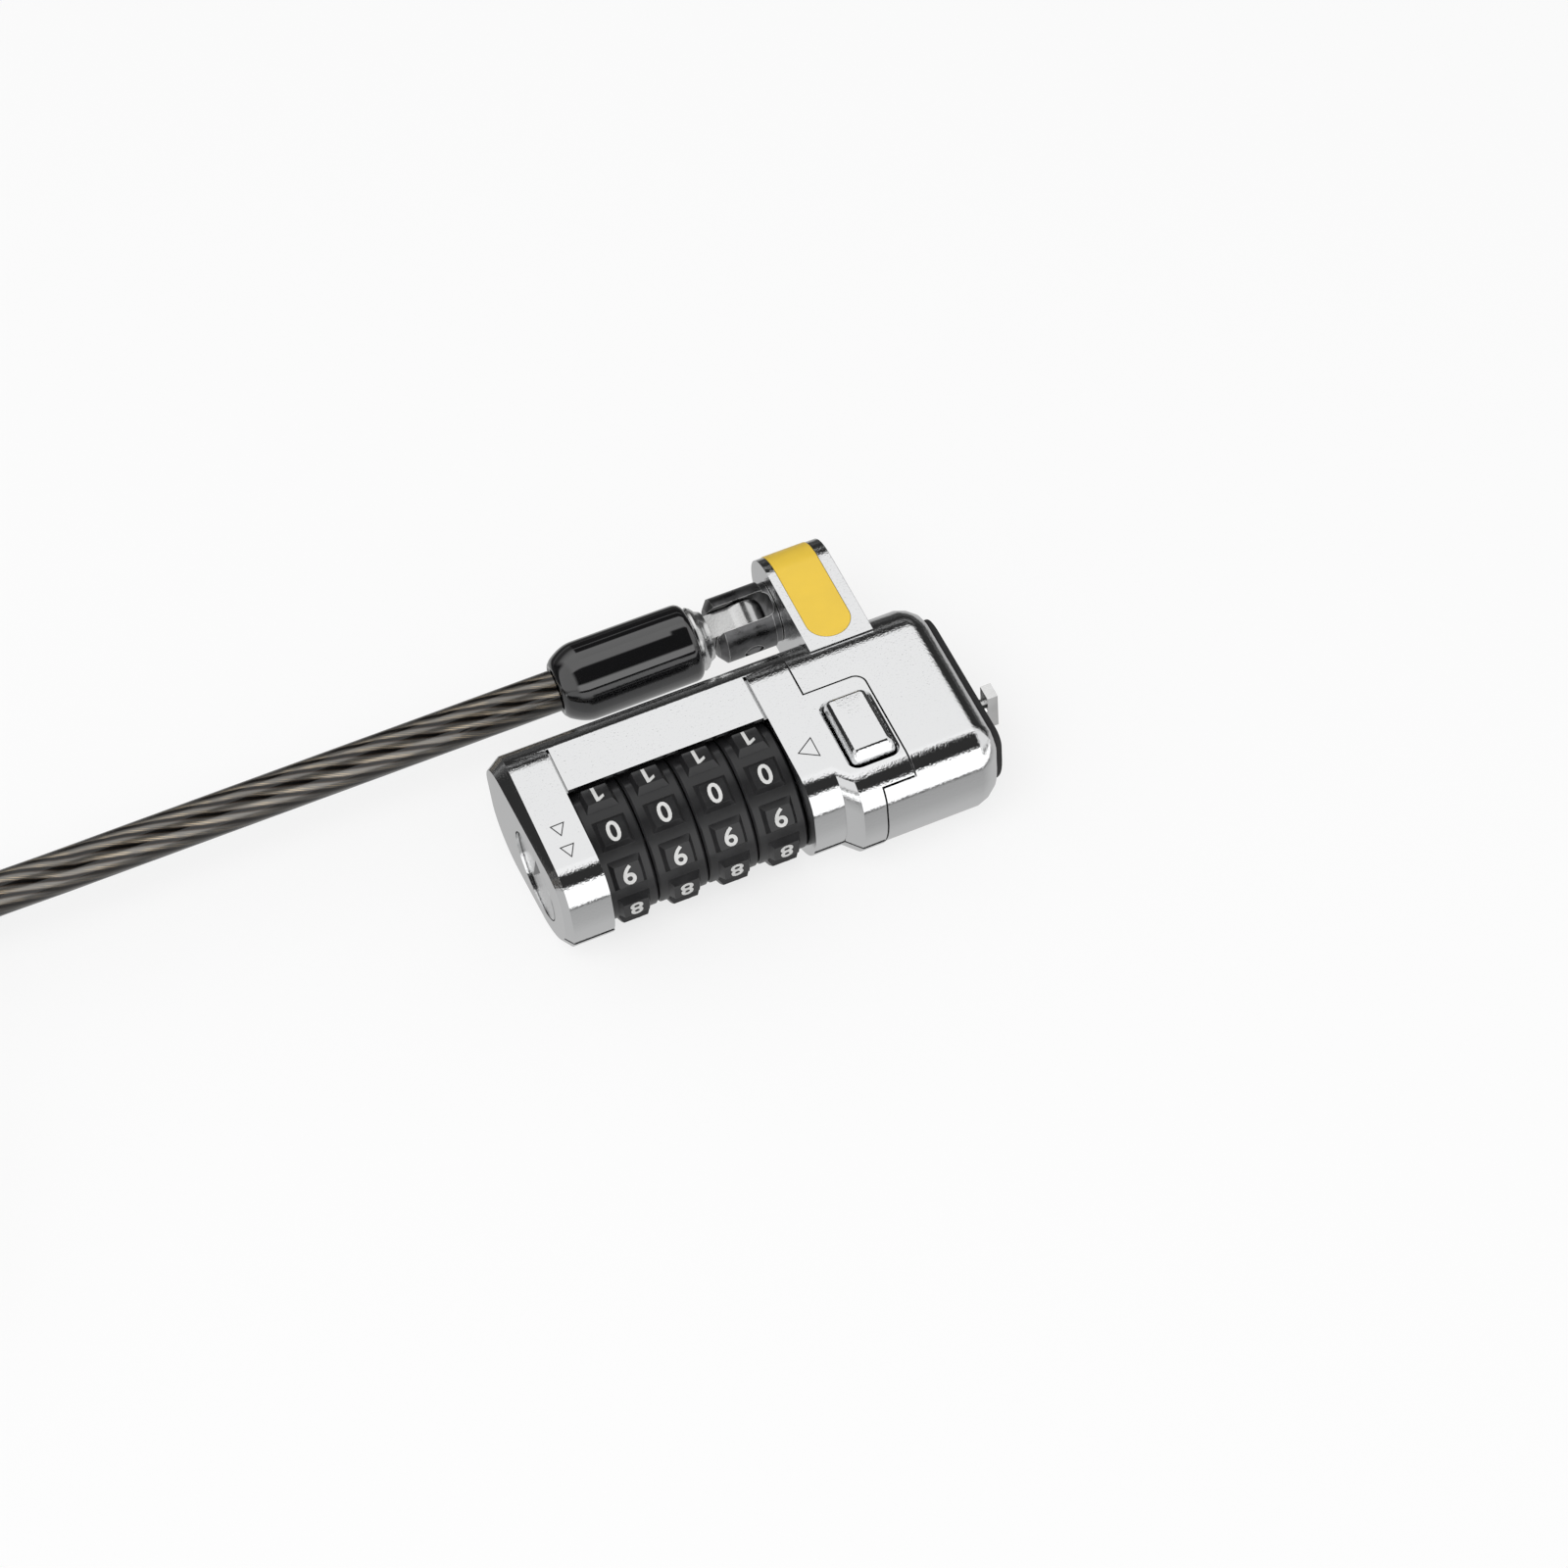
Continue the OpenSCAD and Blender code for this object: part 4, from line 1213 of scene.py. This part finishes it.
@dataclass
class CableEnd:
    """The boot over the end fitting, with the fitting itself."""

    x0: float = -53.3
    x1: float = -31.9
    radius: float = 5.95
    cable_r: float = 3.1
    bore: float = 4.25

    def build(self, frame: dict[str, Any], finishes: Finishes) -> list[bpy.types.Object]:
        """Builds the boot and the fitting.

        The boot's outer profile is a soft shoulder at the cable's end, a long straight and a small
        rolled edge at the fitting's end; its section closes along the bore.

        Args:
            frame: The loaded frame.
            finishes: The lock's materials.

        Returns:
            Both pieces.
        """
        x0, x1, r = self.x0, self.x1, self.radius
        t = np.linspace(0, 1, 15)
        swell = 4.25 + (r - 4.25) * np.sin(t * np.pi / 2) ** 0.85
        shoulder = np.stack([x0 + 0.3 + 4.1 * t, swell], -1)
        inner = self.cable_r + 0.05
        section = np.array([
            [x0 + 0.05, 3.5], [x0, 3.7], [x0 + 0.12, 4.0], *shoulder[1:],
            [x0 + 6.5, r], [x0 + 10.7, r - 0.01], [x1 - 4, r - 0.03], [x1 - 1.4, r - 0.05],
            [x1 - 0.9, r - 0.12], [x1 - 0.45, r - 0.36], [x1 - 0.15, r - 0.7], [x1, r - 1.1],
            [x1, self.bore + 0.15], [x1 - 0.1, self.bore], [-50.6, self.bore], [-50.8, inner],
            [x0 + 0.3, inner],
        ])
        obj = turned("boot_sleeve", section, degrees=40.0)
        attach(obj, "cable")
        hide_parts("boot")
        finishes.paint(obj, "black_boot")
        fitting = Dressed("cable_terminal", "bright_steel", edge=0.2).build(frame, finishes)
        return [obj, fitting]


# ---- the lock head ---------------------------------------------------------------------------


@dataclass
class Dials:
    """Four combination dials with ten raised pads each, and the number on every pad."""

    count: int = 4
    pitch: float = 7.6
    first: float = -55.92
    start: float = 25.0
    pad_r: float = 10.6
    digit_high: float = 3.0
    stroke: float = 0.018
    raised: float = 0.07
    # Width and height of the dark outline round each number, a painted shade for the shadow at its edge.
    groove: float = 0.09
    groove_raised: float = 0.015
    sunk: float = 0.05
    one: Steps = (
        (-0.02, -1.5), (0.5, -1.5), (0.5, 1.5), (0.08, 1.5), (-0.85, 0.92), (-0.85, 0.36),
        (-0.02, 0.84),
    )

    DIGITS = 10
    HALF_PAD = 9.0  # degrees from a pad's middle to the end of its flat
    TYPE_UNIT = 4.1  # millimetres that one unit of the type's size stands for

    def glyph_of_one(self, grow: float) -> Letter:
        """The figure one as a solid letter: a bar with a slanted flag.

        Its outline's corners are pushed out by grow along the mean of the two edges' normals.

        Args:
            grow: How much larger it is than the painted figure, in millimetres.

        Returns:
            Its points and its faces.
        """
        flat = np.asarray(self.one)
        way = np.roll(flat, -1, 0) - flat
        way /= np.linalg.norm(way, axis=1)[:, None]
        normal = np.stack([way[:, 1], -way[:, 0]], -1)
        lean = normal + np.roll(normal, 1, 0)
        flat = flat + grow * lean / (1 + (normal * np.roll(normal, 1, 0)).sum(1))[:, None]
        n = len(flat)
        points = np.vstack([np.column_stack([flat, np.full(n, h)]) for h in (-0.5, 0.5)])
        sides = [[k, (k + 1) % n, n + (k + 1) % n, n + k] for k in range(n)]
        lid = [[0, 1, 2, 3, 6], [3, 4, 5, 6]]
        upper = [[n + v for v in face] for face in lid]
        return points, sides + upper + [face[::-1] for face in lid]

    def glyphs(self, grow: float = 0.0) -> list[Letter]:
        """Makes the ten digits as solid letters.

        Args:
            grow: How much wider each stroke is on both sides, in millimetres.

        Returns:
            For each digit, its points (x, y and height, in millimetres) and its faces.
        """
        made = []
        for digit in range(self.DIGITS):
            if digit == 1:
                made.append(self.glyph_of_one(grow))
                continue
            text = bpy.data.curves.new(f"digit_{digit}", "FONT")
            text.body = str(digit)
            text.align_x, text.align_y = "CENTER", "CENTER"
            text.size, text.extrude, text.resolution_u = 1.0, 0.5, 4
            text.offset = self.stroke + grow / self.TYPE_UNIT
            holder = linked(text.name, text)
            bpy.context.view_layer.update()
            graph = bpy.context.evaluated_depsgraph_get()
            mesh = bpy.data.meshes.new_from_object(holder.evaluated_get(graph))
            points = np.empty(len(mesh.vertices) * 3)
            mesh.vertices.foreach_get("co", points)
            points = points.reshape(-1, 3)
            low, high = points.min(0), points.max(0)
            points -= (low + high) / 2
            scale = (self.digit_high + 2 * grow) / (high[1] - low[1])
            points *= (scale, scale, 1.0)
            made.append((points, [list(p.vertices) for p in mesh.polygons]))
            bpy.data.objects.remove(holder)
            bpy.data.curves.remove(text)
            bpy.data.meshes.remove(mesh)
        return made

    def build(self, frame: dict[str, Any], finishes: Finishes) -> None:
        """Builds the dials, their numbers and the dark line round each number, a painted shade standing for
        the shadow at each number's edge.

        Args:
            frame: The loaded frame.
            finishes: The lock's materials.
        """
        for dial in range(self.count):
            Dressed(f"dial_{dial + 1}", "black_dial", edge=0.12).build(frame, finishes)
        self.numbers("numbers", self.glyphs(), self.raised, "digit_paint", finishes)
        # Painted shade: a wider dark copy of each number just above the pad.
        wider = self.glyphs(self.groove)
        self.numbers("number_shade_outlines", wider, self.groove_raised, "digit_outline_shade", finishes)

    def numbers(
        self, name: str, glyphs: list[Letter], proud: float, finish: str, finishes: Finishes
    ) -> None:
        """Lays a set of digits on the pads of every dial.

        A digit's x runs to -X, its y runs to the front round the dial and its height outwards. Digit
        k stands at the angle start - 36 k from straight up, turned to the front.

        Args:
            name: The pieces' name, after the dial's.
            glyphs: The ten digits.
            proud: How far they stand above the pads' flats.
            finish: Their material.
            finishes: The lock's materials.
        """
        flat = self.pad_r * math.cos(math.radians(self.HALF_PAD))
        for dial in range(self.count):
            points, faces, base = [], [], 0
            for digit, (shape, sides) in enumerate(glyphs):
                a = math.radians(self.start - 360 / self.DIGITS * digit)
                out = np.array([0, -math.sin(a), math.cos(a)])
                round_ = np.array([0, -math.cos(a), -math.sin(a)])
                height = flat - self.sunk + (shape[:, 2] + 0.5) * (proud + self.sunk)
                across = shape[:, :1] * (-1, 0, 0)
                place = across + shape[:, 1:2] * round_ + height[:, None] * out
                points.append(place + (self.first + self.pitch * dial, 0, 0))
                faces += [[base + v for v in side] for side in sides]
                base += len(shape)
            obj = piece_from(f"dial_{dial + 1}_{name}", DATUM.from_axis(np.vstack(points)), faces)
            outwards(obj)
            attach(obj, f"dial_{dial + 1}_body")
            finishes.paint(obj, finish)
            LOG.info("%s: %d faces", obj.name, len(obj.data.polygons))


@dataclass
class Button:
    """The release button: a cap with a steep wall, a narrow bevel and a flat top.

    Each station is a height above the flat top of the castings, half its length along X, half its
    length along Y and the radius of its corners, in millimetres.
    """

    place: tuple[float, float] = (-18.45, -3.85)
    top: float = 11.0
    corner_steps: int = 7
    stations: tuple[tuple[float, float, float, float], ...] = (
        (-2.05, 3.3, 5.8, 0.95), (0.02, 3.3, 5.8, 0.95), (1.05, 3.07, 5.5, 0.8),
        (1.5, 2.96, 5.2, 0.73), (1.58, 2.93, 5.16, 0.7), (1.62, 2.9, 5.13, 0.68),
        (1.7, 2.82, 5.06, 0.62), (1.76, 2.735, 5.0, 0.56), (1.84, 2.65, 4.93, 0.52),
        (1.9, 2.58, 4.86, 0.48), (1.945, 2.51, 4.79, 0.45), (1.976, 2.44, 4.72, 0.42),
        (1.993, 2.38, 4.66, 0.41), (2.0, 2.3, 4.58, 0.4),
    )

    def build(self, finishes: Finishes) -> None:
        """Builds the cap as a stack of rounded oblongs.

        A ring's corner k is a quarter turn of its radius about a middle that lies a radius inside
        both sides.

        Args:
            finishes: The lock's materials.
        """
        quarter = np.linspace(0, 90, self.corner_steps)
        a = np.radians(np.concatenate([q * 90 + quarter for q in range(4)]))
        sign = np.repeat([(1, 1), (-1, 1), (-1, -1), (1, -1)], self.corner_steps, axis=0)
        z, hx, hy, r = np.asarray(self.stations).T[:, :, None]
        x = self.place[0] + sign[:, 0] * (hx - r) + r * np.cos(a)
        y = self.place[1] + sign[:, 1] * (hy - r) + r * np.sin(a)
        rings = np.stack([x, y, np.broadcast_to(self.top + z, x.shape)], -1)
        obj = ring_surface("release_button_cap", DATUM.from_axis(rings), degrees=24.0)
        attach(obj, "release")
        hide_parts("release_button")
        finishes.paint(obj, "chrome_plate")


@dataclass
class ResetDisc:
    """The disc in the head's left end that is turned to set a new number, with its pointer."""

    end_x: float = -67.2
    depth: float = 0.2
    thick: float = 1.3
    radius: float = 6.72
    edge: float = 0.14
    bore: float = 3.0
    steps: int = 128
    pointer: Steps = ((-1.6, 5.7), (-3.3, 4.7), (2.4, -3.1))
    pointer_deep: float = 0.3
    pointer_proud: float = 0.012

    def build(self, finishes: Finishes) -> None:
        """Builds the disc and its pointer.

        The disc is its section, a face with a rounded rim, turned about the dials' axis. The pointer
        is a wedge let into the face, of which a hair's breadth stands out.

        Args:
            finishes: The lock's materials.
        """
        lean = np.radians(np.linspace(0, 90, 6))
        rim = self.radius - self.edge
        face = self.end_x + self.depth
        back = face + self.thick
        x = np.array([face, *(face + self.edge * (1 - np.cos(lean))), back, back])
        r = np.array([rim * 0.5, *(rim + self.edge * np.sin(lean)), self.radius, self.bore])
        a = np.linspace(0, 2 * np.pi, self.steps, endpoint=False)
        along = np.broadcast_to(x[:, None], (len(x), len(a)))
        rings = np.stack([along, r[:, None] * np.cos(a), r[:, None] * np.sin(a)], -1)
        obj = ring_surface("reset_disc_face", DATUM.from_axis(rings))
        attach(obj, "reset")
        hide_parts("reset_disc")
        finishes.paint(obj, "chrome_plate")
        flat = np.asarray(self.pointer)
        depths = (self.pointer_deep, -self.pointer_proud)
        wedge = np.stack([np.column_stack([np.full(3, face + dx), flat]) for dx in depths])
        mark = ring_surface("reset_disc_pointer", DATUM.from_axis(wedge), degrees=20.0)
        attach(mark, "reset")
        finishes.paint(mark, "dark_nickel")


@dataclass
class Marks:
    """The index triangles let into the castings, as thin enamel lines."""

    top: float = 11.0
    line: float = 0.1
    proud: float = 0.015
    sunk: float = 0.05
    triangles: tuple[Steps, ...] = (
        ((-25.2, -2.2), (-25.2, -6.0), (-28.0, -4.2)),
        ((-64.0, -1.06), (-61.8, -1.0), (-63.0, -3.3)),
        ((-64.0, -5.0), (-61.8, -5.0), (-62.95, -7.3)),
    )

    CORNER_SHARE = 3.2

    def build(self, finishes: Finishes) -> None:
        """Builds one closed line of oblong section round each triangle.

        A corner's inner point lies towards the triangle's middle, CORNER_SHARE line widths from it,
        so that the line is about even.

        Args:
            finishes: The lock's materials.
        """
        for number, corners in enumerate(self.triangles):
            c = np.asarray(corners)
            middle = c.mean(0)
            reach = np.linalg.norm(c - middle, axis=1).mean()
            inner = middle + (c - middle) * (1 - self.CORNER_SHARE * self.line / reach)
            low, high = np.full(3, self.top - self.sunk), np.full(3, self.top + self.proud)
            places = ((c, low), (c, high), (inner, high), (inner, low))
            rings = np.stack([np.column_stack(place) for place in places], 1)
            obj = ring_surface(f"index_mark_{number + 1}", DATUM.from_axis(rings), Ends.JOINED, degrees=20.0)
            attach(obj, "lock")
            finishes.paint(obj, "mark_enamel")


@dataclass
class LockHead:
    """The two chromed castings with their band and pad, the slotted swivel head and the anchor.

    The nodes named in hidden keep the frame's shapes and only take a finish.
    """

    dressed: tuple[Dressed, ...] = (
        Dressed("rear_body", "chrome_plate", edge=0.3, segments=3),
        Dressed(
            "front_collar", "chrome_plate", edge=0.3, segments=3,
            round_x=-9.4, round_y=12.5, round_edge=0.85,
        ),
        Dressed("face_pad", "black_rubber", edge=0.12),
        Dressed("lug_band", "yellow_band", edge=0.12),
        Dressed("swivel_clevis", "dark_nickel", edge=0.16),
        Dressed("clevis_pin", "dark_nickel", edge=0.1),
        Dressed("anchor_stud", "bright_steel", edge=0.15),
        Dressed("anchor_washer", "black_rubber", edge=0.15),
    )
    hidden: dict[str, str] = field(default_factory=lambda: {
        "spindle": "bright_steel", "spindle_spring": "bright_steel",
        "detent_spring": "bright_steel", "dowel_pins": "bright_steel", "guide_bush": "brass_bush",
        "latch_plate": "dark_nickel", "button_spring": "bright_steel", "swivel_clip": "dark_nickel",
        "clutch_sleeve_1": "brass_bush", "clutch_sleeve_2": "brass_bush",
        "clutch_sleeve_3": "brass_bush", "clutch_sleeve_4": "brass_bush",
    })

    def build(self, frame: dict[str, Any], finishes: Finishes) -> None:
        """Builds the castings and gives the rest of the frame its finishes.

        Args:
            frame: The loaded frame.
            finishes: The lock's materials.
        """
        for part in self.dressed:
            part.build(frame, finishes)
        for node, finish in self.hidden.items():
            finishes.paint_node(frame["nodes"][node], finish)


def main() -> None:
    """Builds the whole scene in order and reports each piece."""
    logging.basicConfig(level=logging.INFO, format="%(message)s")
    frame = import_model()
    finishes = Finishes()
    Viewpoint().build()
    Studio().build()
    fittings = CableEnd().build(frame, finishes)
    Cable().build(finishes, fittings)
    LockHead().build(frame, finishes)
    Button().build(finishes)
    ResetDisc().build(finishes)
    Dials().build(frame, finishes)
    Marks().build(finishes)


if __name__ == "__main__":
    main()
